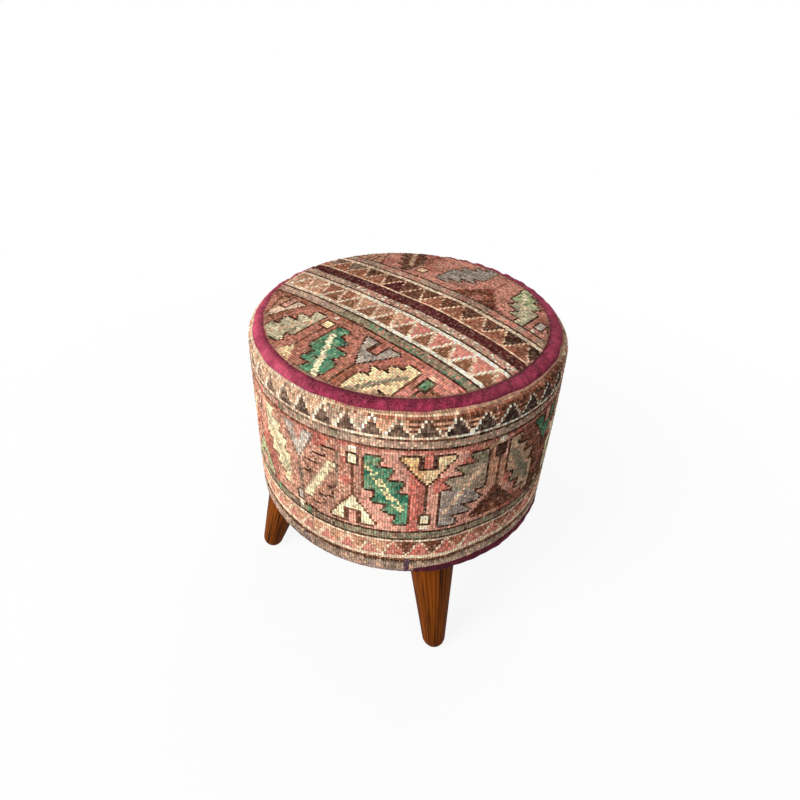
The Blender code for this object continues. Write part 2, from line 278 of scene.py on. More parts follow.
# Half of the broad serrated leaf's outline in knots from its centre; the other half is its half turn
LEAF_HALF = [(-8, -16.7), (-1.4, -16.7), (-4.0, -12.0), (2.9, -11.5),
             (-0.7, -7.0), (7.3, -6.4), (3.5, -1.2), (8, -0.5)]
BROAD_LEAF = LEAF_HALF + [(-x, -y) for x, y in LEAF_HALF]
# The leaves that lean to the left are slimmer, with shorter teeth on their lower side
SLIM_LEAF = [(-8, -16.6), (-1.7, -16.6), (-4.2, -11.2), (2.6, -10.7),
             (-0.1, -5.6), (6.7, -5.0), (4.2, 0.6), (8.2, 1.3),
             (8, 16.7), (3.0, 16.7), (4.6, 11.8), (-1.4, 11.1),
             (0.8, 6.6), (-5.2, 6.1), (-3.6, 0.5), (-7.9, -0.2)]
LEAF_VEIN_SLOPE = 0.58
LEAF_VEIN_REACH = 11
# Half width of the vein and the share of its knots that are there, by the leaf's wool
VEINS = {"cream": (1.7, 0.95), "oat": (1.6, 0.95), "clay": (2.0, 1.0), "sand": (1.9, 1.0),
         "brown": (1.5, 1.0), "yellow": (1.4, 1.0), "green": (1.5, 0.95)}
THIN_VEIN = (1.1, 0.88)
BROKEN_VEIN = (1.8, 0.66)
# Two other wools that lie in patches inside a motif of one wool
PATCHES = {"green": ("teal", "fern"), "grey": ("moss", "slate"), "brown": ("umber", "rust"),
           "sage": ("moss", "cream"), "sand": ("cocoa", "moss"), "pewter": ("sage", "slate")}
PATCH_LEVEL = 0.95
# Other wool of a leaf's lower half
LOWER_HALF = {"grey": "pewter", "pale_green": "sage"}
# Other wool of a goblet's left side
LEFT_SIDE = {"yellow": "amber", "bone": "tan"}
GOBLET_HALF_WIDTH = 10.4
GOBLET_DEPTH = 13.6
GOBLET = [(-GOBLET_HALF_WIDTH, 0), (GOBLET_HALF_WIDTH, 0), (0, GOBLET_DEPTH)]
GOBLET_STEM = 0.6
GOBLET_STEM_END = 28.5
# Parts of a goblet's foot: half width, first and last row after the stem, and a wool other than the foot's
GOBLET_FOOT = [(2.7, 0, 5.8, "umber"), (1.6, 1, 4.8, None), (2.1, 6, 7.1, "selvedge"),
               (1.1, 7.1, 8.4, "ivory")]
# Half width and depth of the notch in a goblet's flat side, and of the line round it
NOTCH = (1.8, 5.0)
NOTCH_LINE = (3.4, 6.1)
NOTCH_EDGE = 0.9
# Wools inside the notches, by the goblet's wool
NOTCHES = {"yellow": "rose", "slate": "brick", "brown": "cocoa", "mahogany": "pink"}
# How far a notch runs up over the goblet's flat side, and the goblets where it reaches the stripe
NOTCH_RISE = 1.2
TALL_NOTCH_RISE = 3.6
TALL_NOTCHES = ("yellow", "slate")
# Goblets whose notch narrows to a point: half width at the flat side, taper and depth
POINTED_NOTCHES = {"blue_grey": (3.7, 0.5, 8)}


def fill_motif(weave, mask, wool):
    weave.paint(mask, wool)
    if wool in PATCHES:
        weave.paint(mask & (weave.mottle > PATCH_LEVEL), PATCHES[wool][0])
        weave.paint(mask & (weave.mottle < -PATCH_LEVEL), PATCHES[wool][1])


def draw_leaf(weave, x, y, outline, wool, vein_wool, line_wool):
    """Serrated leaf about its middle, in a thin line and with a slanting vein."""
    leaf = inside(x, y, outline)
    weave.paint(touching(leaf, 1), line_wool)
    weave.paint(touching(leaf, 0), "umber" if line_wool != "tan" else "taupe")
    fill_motif(weave, leaf, wool)
    if wool in LOWER_HALF:
        weave.paint(leaf & (y > 2 * weave.mottle), LOWER_HALF[wool])
    across = x - LEAF_VEIN_SLOPE * y
    half, share = BROKEN_VEIN if vein_wool == "straw" else VEINS.get(wool, THIN_VEIN)
    middle = leaf & (np.abs(y) < LEAF_VEIN_REACH)
    weave.paint(middle & (weave.chance() < share) & (np.abs(across) < half), vein_wool)


def draw_notch(weave, side, y, wool, line_wool):
    """Notch in a goblet's flat side, square or pointed."""
    notch_wool = NOTCHES.get(wool, "coral")
    if wool in POINTED_NOTCHES:
        half, taper, depth = POINTED_NOTCHES[wool]
        weave.paint((side < half - taper * y) & (y > -NOTCH_EDGE) & (y < depth), notch_wool)
        return
    half, depth = NOTCH_LINE
    weave.paint((side < half) & (y > -NOTCH_EDGE) & (y < depth), line_wool)
    half, depth = NOTCH
    rise = TALL_NOTCH_RISE if wool in TALL_NOTCHES else NOTCH_RISE
    weave.paint((side < half) & (y > -rise) & (y < depth), notch_wool)


def draw_goblet(weave, x, y, wool, foot_wool, line_wool):
    """Goblet with its notched flat side at y 0 and its stem and foot towards positive y."""
    cup = inside(x, y, GOBLET)
    side = np.abs(x)
    weave.paint(touching(cup, 0) | touching(cup, 1), line_wool)
    fill_motif(weave, cup, wool)
    if wool in LEFT_SIDE:
        weave.paint(cup & (x < weave.mottle - 1), LEFT_SIDE[wool])
    draw_notch(weave, side, y, wool, line_wool)
    weave.paint((side < GOBLET_STEM) & (y > GOBLET_DEPTH) & (y < GOBLET_STEM_END), line_wool)
    foot = y - GOBLET_STEM_END
    for half, first, last, other in GOBLET_FOOT:
        weave.paint((side < half) & (foot > first) & (foot < last), other or foot_wool)


def draw_motif(weave, motif):
    """One motif: its place and row are those of a leaf's middle or of a goblet's flat side."""
    place, at, kind, wool, accent, line_wool, width, height = motif
    x, y = weave.across(place) / width, (weave.row - at) / height
    if kind == "goblet_up":
        draw_goblet(weave, x, y, wool, accent, line_wool)
    elif kind == "goblet_down":
        draw_goblet(weave, x, -y, wool, accent, line_wool)
    elif kind == "leaf_left":
        draw_leaf(weave, x, y, SLIM_LEAF, wool, accent, line_wool)
    else:
        draw_leaf(weave, -x, y, BROAD_LEAF, wool, accent, line_wool)


def draw_stripes(weave, stripes):
    for first, last, wool in stripes:
        weave.paint(weave.band(first, last), wool)


def draw_ground(weave, patches, red):
    """Patches of the ground: columns, rows, the least redness of their knots, and wool."""
    for left, right, first, last, level, wool in patches:
        weave.paint(weave.area(left, right, first, last) & (red > level), wool)


ZIGZAG_LINE = 0.52
ZIGZAG_DOTS = 0.75


def draw_zigzag(weave, phase, period, band, wools, lines, margin):
    """Row of triangles that stand on the band's lower edge.

    phase counts periods along the row, band holds the first and last row, wools the numbers of
    the upward and downward triangles and of the margin inside the upward ones, and lines the
    wools of the rising and falling edges.
    """
    first, last = band
    up, down, rest = wools
    off = np.abs((phase + 0.5) % 1 - 0.5) * period
    edge = (weave.row - first) / (last - first) * (period / 2)
    within = weave.band(first, last)
    for mask, numbers in ((off >= edge, down), (off < edge, rest), (off < edge - margin, up)):
        weave.wool[within & mask] = numbers[within & mask]
    rising = (phase + 0.5) % 1 < 0.5
    on_line = within & (np.abs(off - edge) < ZIGZAG_LINE)
    weave.paint(on_line & rising, lines[0])
    dotted = weave.chance() < ZIGZAG_DOTS
    weave.paint(on_line & ~rising & dotted, lines[1])


def wool_by_place(x, ladder, last):
    """Numbers of the wools that follow each other along x; ladder holds (upper end, wool)."""
    out = np.full(x.shape, WOOL_NUMBERS[last])
    for end, wool in reversed(ladder):
        out[x < end] = WOOL_NUMBERS[wool]
    return out


# Level of redness that every knot passes
ANY = -math.inf
# Columns from the front that the photograph shows worn at its left and in shade at its right
WORN_LEFT = (-80, -8)
SEEN_END = 75
SEEN_RIGHT = (20, SEEN_END)
# Motifs of the side that the photograph shows: place in knots from the front, row, kind, wool,
# accent, line, width and height
SIDE_SEEN = [
    (-67, 55.6, "goblet_down", "pale_green", "dusty", "taupe", 0.9, 1.0),
    (-52.2, 34.6, "leaf_left", "oat", "sage", "tan", 0.93, 0.96),
    (-39.8, 19.0, "goblet_up", "blue_grey", "blue_grey", "taupe", 0.69, 1.08),
    (-30.4, 39.8, "leaf_right", "clay", "cream", "taupe", 0.95, 1.0),
    (-16.5, 55.4, "goblet_down", "cream", "cream", "brown", 0.92, 1.0),
    (-4.0, 36.7, "leaf_left", "green", "straw", "brown", 0.96, 0.95),
    (10.5, 20.3, "goblet_up", "yellow", "cream", "umber", 0.97, 0.97),
    (24.5, 38.0, "leaf_right", "grey", "selvedge", "umber", 1.1, 1.0),
    (38.5, 54.2, "goblet_down", "brown", "umber", "brown", 1.0, 1.0),
    (50.6, 36.5, "leaf_left", "sand", "moss", "umber", 0.95, 1.0),
    (65.5, 19.0, "goblet_up", "green", "cocoa", "umber", 0.9, 1.0),
]
# The motifs behind go on in the same order
SIDE_KINDS = [("leaf_right", 38), ("goblet_down", 55), ("leaf_left", 37), ("goblet_up", 19.5)]
SIDE_HIDDEN = ["cream", "grey", "green", "yellow", "tan", "brown", "grey", "cream", "sage",
               "blue_grey", "cream", "yellow", "green", "brown", "dusty", "green", "grey", "cream",
               "cream", "blue_grey", "tan"]
HIDDEN_WIDTH = 0.95
SIDE_GROUND = [
    (-80, -13, 0, SIDE_ROWS, ANY, "blush"),
    (-SIDE_COLS, SIDE_COLS, 0, SIDE_ROWS, 1.3, "rose"),
    (3.6, 9.6, 25, SIDE_ROWS, ANY, "rose"),
    (12.6, 18, 30, 38, ANY, "rose"),
    # Rose, rust and brown ground towards the right edge: partly the carpet's own colour, partly painted
    # shade
    (42, SEEN_END, 0, SIDE_ROWS, -0.2, "rose"),
    (48, SEEN_END, 0, SIDE_ROWS, -0.6, "rust"),
    (56, SEEN_END, 0, SIDE_ROWS, 0.1, "brown"),
    (30, 42, 0, SIDE_ROWS, 0.2, "tan"),
    (-65, -54, 38, SIDE_ROWS, -0.3, "brick"),
]
# Stripes of the side, in rows of knots from the lip down
SIDE_STRIPES = [
    (0, 3, "selvedge"), (11, 12, "bone"), (12, 13, "brown"), (13, 14, "ash"), (14, 16, "dusty"),
    (16, 17, "umber"), (17, 18, "brick"), (57, 58, "umber"), (58, 61, "moss"), (61, 62, "umber"),
    (62, 63, "bone"), (71, 73, "bone"), (73, 74, "cocoa"), (74, 75, "umber"), (75, 76, "taupe"),
    (76, 80, "ash"), (80, 81, "lilac"),
]
# Single rows that change their wool over some columns
SIDE_CHANGES = [(SEEN_RIGHT, 2, "rust"), (SEEN_RIGHT, 11, "ivory"), (SEEN_RIGHT, 12, "umber"),
                (WORN_LEFT, 12, "taupe"), (WORN_LEFT, 16, "brown")]
# Patches along the stripes: rows, wool and the level of the noise that they start at
SIDE_BANDS = [((58, 61), "taupe", 0.2), ((57, 61), "fern", 1.15), ((76, 81), "lilac", 1.2),
              ((13, 16), "moss", 0.9), ((13, 16), "pink", 1.0)]
# Row of the pale line under the upper triangles, and the share of its knots that are darker
PALE_LINE = (11, 12)
PALE_LINE_DARKER = 0.2
# Triangles stand a little closer together to the left of the front than to its right
LEFT_PITCH = 9.0
RIGHT_PITCH = 10.3
SIDE_PHASE = 0.07
UPPER_TRIANGLES = (3, 11)
LOWER_TRIANGLES = (63, 71)
# Knots of margin inside the upward triangles, which the lower row has only at the left and behind
UPPER_MARGIN = 0.7
LOWER_MARGIN = 0.8
# Columns between which the lower triangles are rose
ROSE_COLUMNS = (-3, 22)
# Dark knots in the first row of the upper triangles: columns, wool and share
UPPER_EDGE = [((-24, -8), "cocoa", 0.4), ((-8, SEEN_END), "rust", 0.85), (SEEN_RIGHT, "brown", 0.7)]
# Mended strip at the lower edge: columns and rows
MENDED = (4.4, 6.4, 73, 80.6)
# Painted light and shade: share by which places are darker or lighter, with the soft edges of their columns
# and of their rows
ALL_ROWS = (-2, -1, SIDE_ROWS + 1, SIDE_ROWS + 2)
SIDE_PAINTED_LIGHT = [(-0.20, (-130, -80, -34, -8), ALL_ROWS), (-0.22, (42, 50, 72, 100), (16, 19, 55, 58)),
              (0.16, (14, 34, 70, 110), (58, 72, SIDE_ROWS + 1, SIDE_ROWS + 2))]


def draw_upper_triangles(weave, phase, pitch):
    u = weave.u
    up = wool_by_place(u, [(-45, "taupe"), (15, "soot"), (SEEN_END, "charcoal")], "taupe")
    ladder = [(-75, "tan"), (-26, "sand"), (-12, "ash"), (35, "tan"), (SEEN_END, "rust")]
    down = wool_by_place(u, ladder, "tan")
    down[(np.floor(weave.row) % 2 == 0) & weave.area(3, SEEN_END)] = WOOL_NUMBERS["brown"]
    rest = wool_by_place(u, [(-75, "tan"), (-12, "dusty"), (5, "tan"), (SEEN_END, "brown")], "tan")
    wools = (up, down, rest)
    draw_zigzag(weave, phase, pitch, UPPER_TRIANGLES, wools, ("ivory", "bone"), UPPER_MARGIN)
    first = UPPER_TRIANGLES[0]
    for columns, wool, share in UPPER_EDGE:
        weave.paint(weave.area(*columns, first, first + 1) & (weave.chance() < share), wool)


def draw_lower_triangles(weave, phase, pitch):
    u = weave.u
    left, right = ROSE_COLUMNS
    up = wool_by_place(u, [(left, "pink"), (right, "rose")], "pink")
    down = wool_by_place(u, [(left, "tan"), (3, "rust"), (right, "brown"), (SEEN_END, "rust")], "tan")
    rest = wool_by_place(u, [(left, "sand"), (right, "rose"), (SEEN_END, "pink")], "sand")
    margin = np.where((u < left) | (u > SEEN_END), LOWER_MARGIN, 0.0)
    draw_zigzag(weave, phase, pitch, LOWER_TRIANGLES, (up, down, rest), ("bone", "selvedge"), margin)


def draw_side_motifs(weave):
    for motif in SIDE_SEEN:
        draw_motif(weave, motif)
    start = SIDE_SEEN[-1][0]
    step = (SIDE_COLS + SIDE_SEEN[0][0] - start) / (len(SIDE_HIDDEN) + 1)
    for i, wool in enumerate(SIDE_HIDDEN):
        place = math.floor(start + step * (i + 1)) + 0.5
        kind, at = SIDE_KINDS[i % len(SIDE_KINDS)]
        accent = "moss" if wool in ("cream", "yellow", "grey") else "cream"
        draw_motif(weave, (place, at, kind, wool, accent, "umber", HIDDEN_WIDTH, 1.0))


def redness(weave):
    """Random field of how red the ground's dye has run."""
    return weave.soft_noise(12) + 0.5 * weave.soft_noise(5)


def side_weave():
    weave = Weave(SIDE_ROWS, SIDE_COLS, 0, "coral", True, 5)
    u = weave.u
    draw_ground(weave, SIDE_GROUND, redness(weave))
    draw_stripes(weave, SIDE_STRIPES)
    for columns, first, wool in SIDE_CHANGES:
        weave.paint(weave.area(*columns, first, first + 1), wool)
    for band, wool, level in SIDE_BANDS:
        weave.paint_band(band, wool, level)
    weave.paint(weave.band(*PALE_LINE) & (weave.chance() < PALE_LINE_DARKER), "sand")
    pitch = np.where(u < 0, LEFT_PITCH, RIGHT_PITCH)
    phase = u / pitch + SIDE_PHASE
    draw_upper_triangles(weave, phase, pitch)
    draw_lower_triangles(weave, phase, pitch)
    draw_side_motifs(weave)
    weave.paint(weave.area(*MENDED), "plum")
    # Painted shade at the left and the right, and painted light low at the right
    for share, columns, rows in SIDE_PAINTED_LIGHT:
        weave.fade *= 1 + share * hump(u, *columns) * hump(weave.row, *rows)
    return weave


# Motifs of the top on the near and the far side of its maroon stripe, in knots from the middle
TOP_MOTIFS = [
    (-52, 47, "leaf_left", "taupe", "tan", "brown", 0.9, 1.0),
    (-38.5, 29.0, "goblet_up", "bone", "ivory", "brown", 0.72, 1.16),
    (-24.6, 47.0, "leaf_right", "sage", "sand", "brown", 0.95, 1.0),
    (1.4, 48.4, "leaf_left", "green", "cream", "brown", 1.0, 1.0),
    (14.3, 28.8, "goblet_up", "slate", "rose", "umber", 0.88, 1.16),
    (26.9, 47.2, "leaf_right", "yellow", "moss", "brown", 0.96, 1.0),
    (-46, -26.5, "goblet_down", "tan", "ivory", "brown", 0.7, 1.1),
    (-30.6, -42, "leaf_left", "brown", "sand", "taupe", 0.9, 0.86),
    (0.4, -45, "leaf_right", "pewter", "slate", "taupe", 1.02, 0.86),
    (17.2, -26.0, "goblet_down", "mahogany", "rose", "rust", 1.12, 1.1),
    (35.3, -40, "leaf_left", "pale_green", "cream", "umber", 0.98, 0.86),
]
# Small squares and bars between them: columns, rows, wool, and the wool of a line round it
TOP_MARKS = [
    (-13.9, -10.4, 31.6, 36, "yellow", "brown"),
    (-12.4, -11.2, 37, 52, "brown", None),
    (-13.9, -11.7, 26.6, 29, "ivory", None),
    (38.5, 42, 32, 36.8, "fern", "umber"),
    (39.0, 41.6, 28.5, 30.6, "selvedge", None),
    (39.7, 40.9, 38, 47, "umber", None),
    (-20, -16.2, -35.4, -30.6, "yellow", "brown"),
    (46.8, 50.2, -34.6, -29.8, "blue_grey", "umber"),
    (47.3, 49.5, -28, -26.2, "ivory", None),
    (53, 55, -35, -32, "bone", "umber"),
]
# Triangle cut off by the near edge: column of its middle, row of its tip, and slope
CUT_TRIANGLE = (-11.2, 51.5, 0.62)
# Rows of the top, from its middle towards the photograph
FAR_FIELD = -25.7
FAR_BAND = (-24.7, -20.7)
FAR_TRIANGLES = (-18.2, -7.4)
PALE_BAND = (-0.2, 4)
NEAR_TRIANGLES = (6.8, 18.2)
NEAR_BAND = (20.8, 24.6)
NEAR_FIELD = 25.9
TOP_STRIPES = [
    (FAR_FIELD, -24.7, "umber"), (*FAR_BAND, "dusty"), (-20.7, -19.6, "umber"), (-19.6, -18.2, "bone"),
    (-7.4, -6.1, "selvedge"), (-6.1, -0.2, "maroon"), (*PALE_BAND, "dusty"), (4, 5.4, "umber"),
    (5.4, 6.8, "bone"), (18.2, 19.6, "bone"), (19.6, 20.8, "umber"), (*NEAR_BAND, "moss"),
    (24.6, NEAR_FIELD, "umber"),
]
TOP_GROUND = [
    (-TOP_KNOTS, -14, NEAR_FIELD, 45, 0, "rust"),
    (-TOP_KNOTS, -5, NEAR_FIELD, 28.2, ANY, "rust"),
    (12.8, 18, 44, TOP_KNOTS, ANY, "rust"),
    (19, 34, NEAR_FIELD, TOP_KNOTS, -0.4, "brick"),
]
# Columns over which the ground turns redder to the left, the column where the near field turns pink, and
# the least redness of the far field's brick and of the near field's rust
RED_SPAN = 30
PINK_FROM = 34
FAR_BRICK = 0.7
NEAR_RUST = 1.1
# Patches along the stripes, in the same form as the ground's
TOP_PATCHES = [
    (-18, TOP_KNOTS, 5.4, 6.8, ANY, "ivory"),
    (-18, TOP_KNOTS, 18.2, 19.6, ANY, "ivory"),
    (-TOP_KNOTS, -6, *NEAR_BAND, -0.6, "dusty"),
]
# Column where the pale band starts to be mixed, and its wools by the least and the most of a chance
PALE_START = -30
PALE_MIX = [(-1, 0.12, "pink"), (0.91, 1, "ivory"), (0.8, 0.88, "cocoa")]
# Column where the near band starts to be mixed, level and share of its green clumps, and share of pink
NEAR_MIX_START = -4
CLUMP_LEVEL = 0.3
CLUMP_SHARE = 0.5
PINK_SHARE = 0.12
# Level of the noise where the far band is faded
FAR_FADED = 0.5
# Pitch of the top's triangles and the column where one stands, and the near row's margin
FAR_PITCH = 11.2
FAR_START = 6.8
NEAR_PITCH = 10.2
NEAR_START = 2
NEAR_MARGIN = 1.2
# Painted light of the top: its level, the painted shade it gets to the left and to the back, and the soft
# edges of both in knots
TOP_LIGHT = 1.02
LEFT_DARKER = 0.18
LEFT_EDGE = (0, 35)
BACK_DARKER = 0.14
BACK_EDGE = (-2, 24)


def draw_top_ground(weave, red):
    near_field = weave.row > NEAR_FIELD
    leftward = red + np.clip(-weave.u / RED_SPAN, 0, 1)
    weave.paint(near_field, "russet")
    weave.paint(near_field & (weave.u > PINK_FROM), "pink")
    weave.paint(~near_field & (leftward > FAR_BRICK), "brick")
    weave.paint(near_field & (leftward > NEAR_RUST), "rust")
    draw_ground(weave, TOP_GROUND, red)


def draw_top_marks(weave):
    for left, right, first, last, wool, line_wool in TOP_MARKS:
        if line_wool:
            weave.paint(weave.area(left - 1, right + 1, first - 1, last + 1), line_wool)
        weave.paint(weave.area(left, right, first, last), wool)
    middle, tip, slope = CUT_TRIANGLE
    weave.paint((weave.row > tip + 0.5) & (np.abs(weave.u - middle) < (weave.row - tip) * slope), "yellow")


def draw_top_bands(weave, red):
    """Mixed wools of the stripes on the top."""
    draw_ground(weave, TOP_PATCHES, red)
    lively = weave.chance()
    pale = weave.area(PALE_START, math.inf, *PALE_BAND)
    for least, most, wool in PALE_MIX:
        weave.paint(pale & (lively > least) & (lively < most), wool)
    specks = weave.chance()
    clumps = weave.soft_noise(5, cell_high=4)
    mixed = weave.area(NEAR_MIX_START, math.inf, *NEAR_BAND)
    weave.paint(mixed & (clumps > CLUMP_LEVEL) & (specks < CLUMP_SHARE), "green")
    weave.paint(mixed & (specks > 1 - PINK_SHARE), "pink")
    weave.paint_band(FAR_BAND, "faded", FAR_FADED)


def draw_top_triangles(weave):
    u = weave.u
    up = wool_by_place(u, [(-20, "rust"), (-10, "maroon"), (1, "brown")], "rust")
    down = wool_by_place(u, [(-35, "taupe"), (36, "brown")], "umber")
    phase = (u - FAR_START) / FAR_PITCH
    draw_zigzag(weave, phase, FAR_PITCH, FAR_TRIANGLES, (up, down, up), ("selvedge", "selvedge"), 0.0)
    up = wool_by_place(u, [(-33, "tan")], "cocoa")
    down = wool_by_place(u, [(-38, "tan"), (-22, "rust"), (8, "tan"), (60, "pink")], "tan")
    rest = wool_by_place(u, [(12, "tan")], "sand")
    phase = (u - NEAR_START) / NEAR_PITCH
    wools = (up, down, rest)
    draw_zigzag(weave, phase, NEAR_PITCH, NEAR_TRIANGLES, wools, ("ivory", "bone"), NEAR_MARGIN)


def top_weave():
    weave = Weave(TOP_KNOTS, TOP_KNOTS, -TOP_KNOTS / 2, "faded", False, 7)
    red = redness(weave)
    draw_top_ground(weave, red)
    for motif in TOP_MOTIFS:
        draw_motif(weave, motif)
    draw_top_marks(weave)
    weave.paint(weave.band(FAR_FIELD, NEAR_FIELD), "faded")
    draw_stripes(weave, TOP_STRIPES)
    draw_top_bands(weave, red)
    draw_top_triangles(weave)
    # Painted shade: the top is darker to the left and to the back
    left = smooth_step(-weave.u, *LEFT_EDGE)
    back = smooth_step(-weave.row, *BACK_EDGE)
    weave.fade *= TOP_LIGHT - LEFT_DARKER * left - BACK_DARKER * back
    return weave


# Uneven colour of the knots: from knot to knot, by stray wools, in broad and fine patches of the dye
KNOT_SPREAD = 0.23
STRAY_MIX = 0.5
BROAD_DYE = 0.08
FINE_DYE = 0.07
SIDE_STREAK = 0.12
TOP_STREAK = 0.10
WARMTH = 0.05 * np.array([1.0, -0.4, -0.8])
SHADE_LIMITS = (0.45, 1.6)
COLOUR_LIMITS = (0.004, 0.95)
# Wear of single knots: spread, what is taken off it, and the most
WEAR = (0.10, 0.03, 0.25)
STREAK_LONG = 22
STREAK_WIDE = 1.3


def knot_colours(weave):
    """Linear colour of each knot, with the uneven dye and wear of old wool, and the painted light and shade
    of the weave.
    """
    table = np.array([wool_light(name) for name in WOOLS])
    colour = table[weave.wool] * (1 - STRAY_MIX) + table[weave.strays()] * STRAY_MIX
    dye = BROAD_DYE * weave.soft_noise(14) + FINE_DYE * weave.soft_noise(5)
    if weave.wraps:
        streak = SIDE_STREAK * weave.soft_noise(STREAK_WIDE, cell_high=STREAK_LONG)
    else:
        streak = TOP_STREAK * weave.soft_noise(STREAK_LONG, cell_high=STREAK_WIDE)
    uneven = np.clip(1 + dye + streak + KNOT_SPREAD * weave.spread(), *SHADE_LIMITS)
    # The uneven dye, times the painted light and shade of the weave
    colour = colour * (weave.fade * uneven)[..., None]
    warm = 1 + weave.spread()[..., None] * WARMTH
    spread, less, most = WEAR
    wear = np.clip(spread * weave.spread() - less, 0, most)[..., None]
    return np.clip(colour * warm * (1 - wear) + wear * wool_light("selvedge"), *COLOUR_LIMITS)


# Meshes


def mesh_piece(name, points, faces, material, uv=None, colour=None, smooth=True):
    """Object from points and blocks of faces; uv and colour hold one row for each face corner."""
    mesh = bpy.data.meshes.new(name)
    corners = [f for block in faces for f in (block.tolist() if isinstance(block, np.ndarray) else block)]
    mesh.from_pydata(np.asarray(points).tolist(), [], corners)
    if uv is not None:
        layer = mesh.uv_layers.new(name="OFBake")
        layer.data.foreach_set("uv", np.asarray(uv, np.float32).ravel())
    if colour is not None:
        wool = mesh.attributes.new("wool", "FLOAT_COLOR", "CORNER")
        full = np.ones((len(colour), 4), np.float32)
        full[:, :3] = colour
        wool.data.foreach_set("color", full.ravel())
    mesh.materials.append(material)
    mesh.update()
    if smooth:
        mesh.shade_smooth()
    obj = bpy.data.objects.new(name, mesh)
    bpy.context.scene.collection.objects.link(obj)
    return obj


def ring_piece(name, sections, material, uv=None):
    """Closed ring of quads from an array of (angle, point of a section's loop, xyz)."""
    steps, size = sections.shape[:2]
    i, j = np.meshgrid(np.arange(steps), np.arange(size), indexing="ij")
    ahead, down = (i + 1) % steps, (j + 1) % size
    corners = [i * size + j, i * size + down, ahead * size + down, ahead * size + j]
    return mesh_piece(name, sections.reshape(-1, 3), [np.stack(corners, -1).reshape(-1, 4)], material, uv)


def quad_uv(u0, u1, v0, v1):
    """Texture places of quads between two columns and two rows."""
    corners = ((u0, v0), (u0, v1), (u1, v1), (u1, v0))
    return np.stack([np.stack(np.broadcast_arrays(u, v), -1) for u, v in corners], -2).reshape(-1, 2)


# Knots


# Height of a knot's middle and depth of the groove round it, and how much they and the grid vary
KNOT_CROWN = 0.5 * MM
CROWN_SPREAD = 0.4
KNOT_GROOVE = 0.4 * MM
GROOVE_SPREAD = 0.12 * MM
KNOT_SHIFT = 0.07
# Corners of the four triangles of a knot
KNOT_CORNERS = 12
BACK_SHADE = 0.6


def loose_grid(columns, rows):
    """Corners between the knots: columns with small shifts, rows, shifts of the rows and groove depths."""
    x, y = np.meshgrid(columns, rows)
    groove = GROOVE_SPREAD * rng.standard_normal(x.shape) - KNOT_GROOVE
    sideways = x + KNOT_SHIFT * rng.standard_normal(x.shape)
    return sideways, y, KNOT_SHIFT * rng.standard_normal(x.shape), groove


def knot_crowns(shape):
    return KNOT_CROWN * (1 + CROWN_SPREAD * rng.standard_normal(shape))


def knot_faces(rows, cols, width):
    """Four triangles for each knot, from its corners, a width to each row, to its raised middle."""
    i, j = np.meshgrid(np.arange(cols), np.arange(rows))
    a, b = j * width + i, j * width + (i + 1) % width
    c, d = a + width, b + width
    m = (rows + 1) * width + j * cols + i
    return np.stack([np.stack(t, -1) for t in ((a, c, m), (c, d, m), (d, b, m), (b, a, m))], 2)


def knot_uv(rows, cols, low):
    """Texture places of those triangles' corners, above a low margin that is kept for the back."""
    i, j = np.meshgrid(np.arange(cols), np.arange(rows))

    def place(x, y):
        return np.stack([x / cols, low + (1 - low) * (1 - y / rows)], -1)

    a, b, c, d = (place(i + x, j + y) for x, y in ((0, 0), (1, 0), (0, 1), (1, 1)))
    m = place(i + 0.5, j + 0.5)
    return np.stack([a, c, m, c, d, m, d, b, m, b, a, m], 2)


def with_backs(colour, corners):
    """Colours of the knots' corners, then those of the carpet's back."""
    backs = np.tile(wool_light("selvedge") * BACK_SHADE, (corners, 1))
    return np.concatenate([np.repeat(colour.reshape(-1, 3), KNOT_CORNERS, axis=0), backs])


# Side carpet


# How far the carpet's lower edge hangs below the solid's, and how far all rows lie below their places
SIDE_DROP = 1.8 * MM
ROWS_LOWER = 0.4
# Rows that the lower edge is drawn up by, the columns and the row where it starts, and the columns where
# all pulls end
PULL_UP = 3.6
PULL_COLUMNS = (14, 36)
PULL_START = 46
PULL_ENDS = (70, 120)
# Rows that bands are let down by: everywhere, and more over columns to the left, with the bands' soft edges
LET_DOWN = [(0.0, 0.5, (-12, 45), (32, 58, 66, 76)), (0.3, 0.25, (-5, 20), (48, 57, 66, 76)),
            (0.0, 0.35, (0, 25), (4, 11, 14, 22))]
SIDE_LENGTH = RIM_LENGTH + RIM_CENTRE_Z - CARPET_LOW_Z + SIDE_DROP
SIDE_SEAM = 1.6 * MM
SIDE_FULLNESS = 0.9 * MM
SIDE_WAVES = [(0.4 * MM, 3, 0, 0.6), (0.3 * MM, 7, 5, 0), (0.2 * MM, 17, 9, 1.2)]
SIDE_UV_LOW = 0.05
# Rings of the carpet's back, as shares of the way down
BACK_RINGS = [1.0, 0.5, 0.12, 0.07, 0.035, 0.0]


def rim_profile(length):
    """Radius, height and outward direction at a length along the side's profile, from the lip down."""
    turn = np.clip(RIM_BEND - (length - LIP_LENGTH) / RIM_ROUND, 0, RIM_BEND)
    on_lip = LIP_LENGTH - np.minimum(length, LIP_LENGTH)
    below = np.clip(length - RIM_LENGTH, 0, None)
    r = RIM_CENTRE_R + RIM_ROUND * np.cos(turn) - on_lip * math.cos(LIP_SLOPE)
    z = RIM_CENTRE_Z + RIM_ROUND * np.sin(turn) + on_lip * math.sin(LIP_SLOPE) - below
    return r, z, np.cos(turn), np.sin(turn)


def on_rim(length, lift, angle):
    """Points on the side's profile, lifted off it."""
    r, z, out, up = rim_profile(length)
    return turned(r + lift * out, angle, z + lift * up)


def side_swell(angle, share):
    """How far the stuffed side stands out at an angle and a share of the way down."""
    return (SIDE_FULLNESS + waves(SIDE_WAVES, angle, share)) * np.sin(math.pi * np.clip(share, 0, 1))


def from_front(angle):
    """Knots from the front of the drum to an angle."""
    return wrapped(angle - FRONT) / math.tau * SIDE_COLS


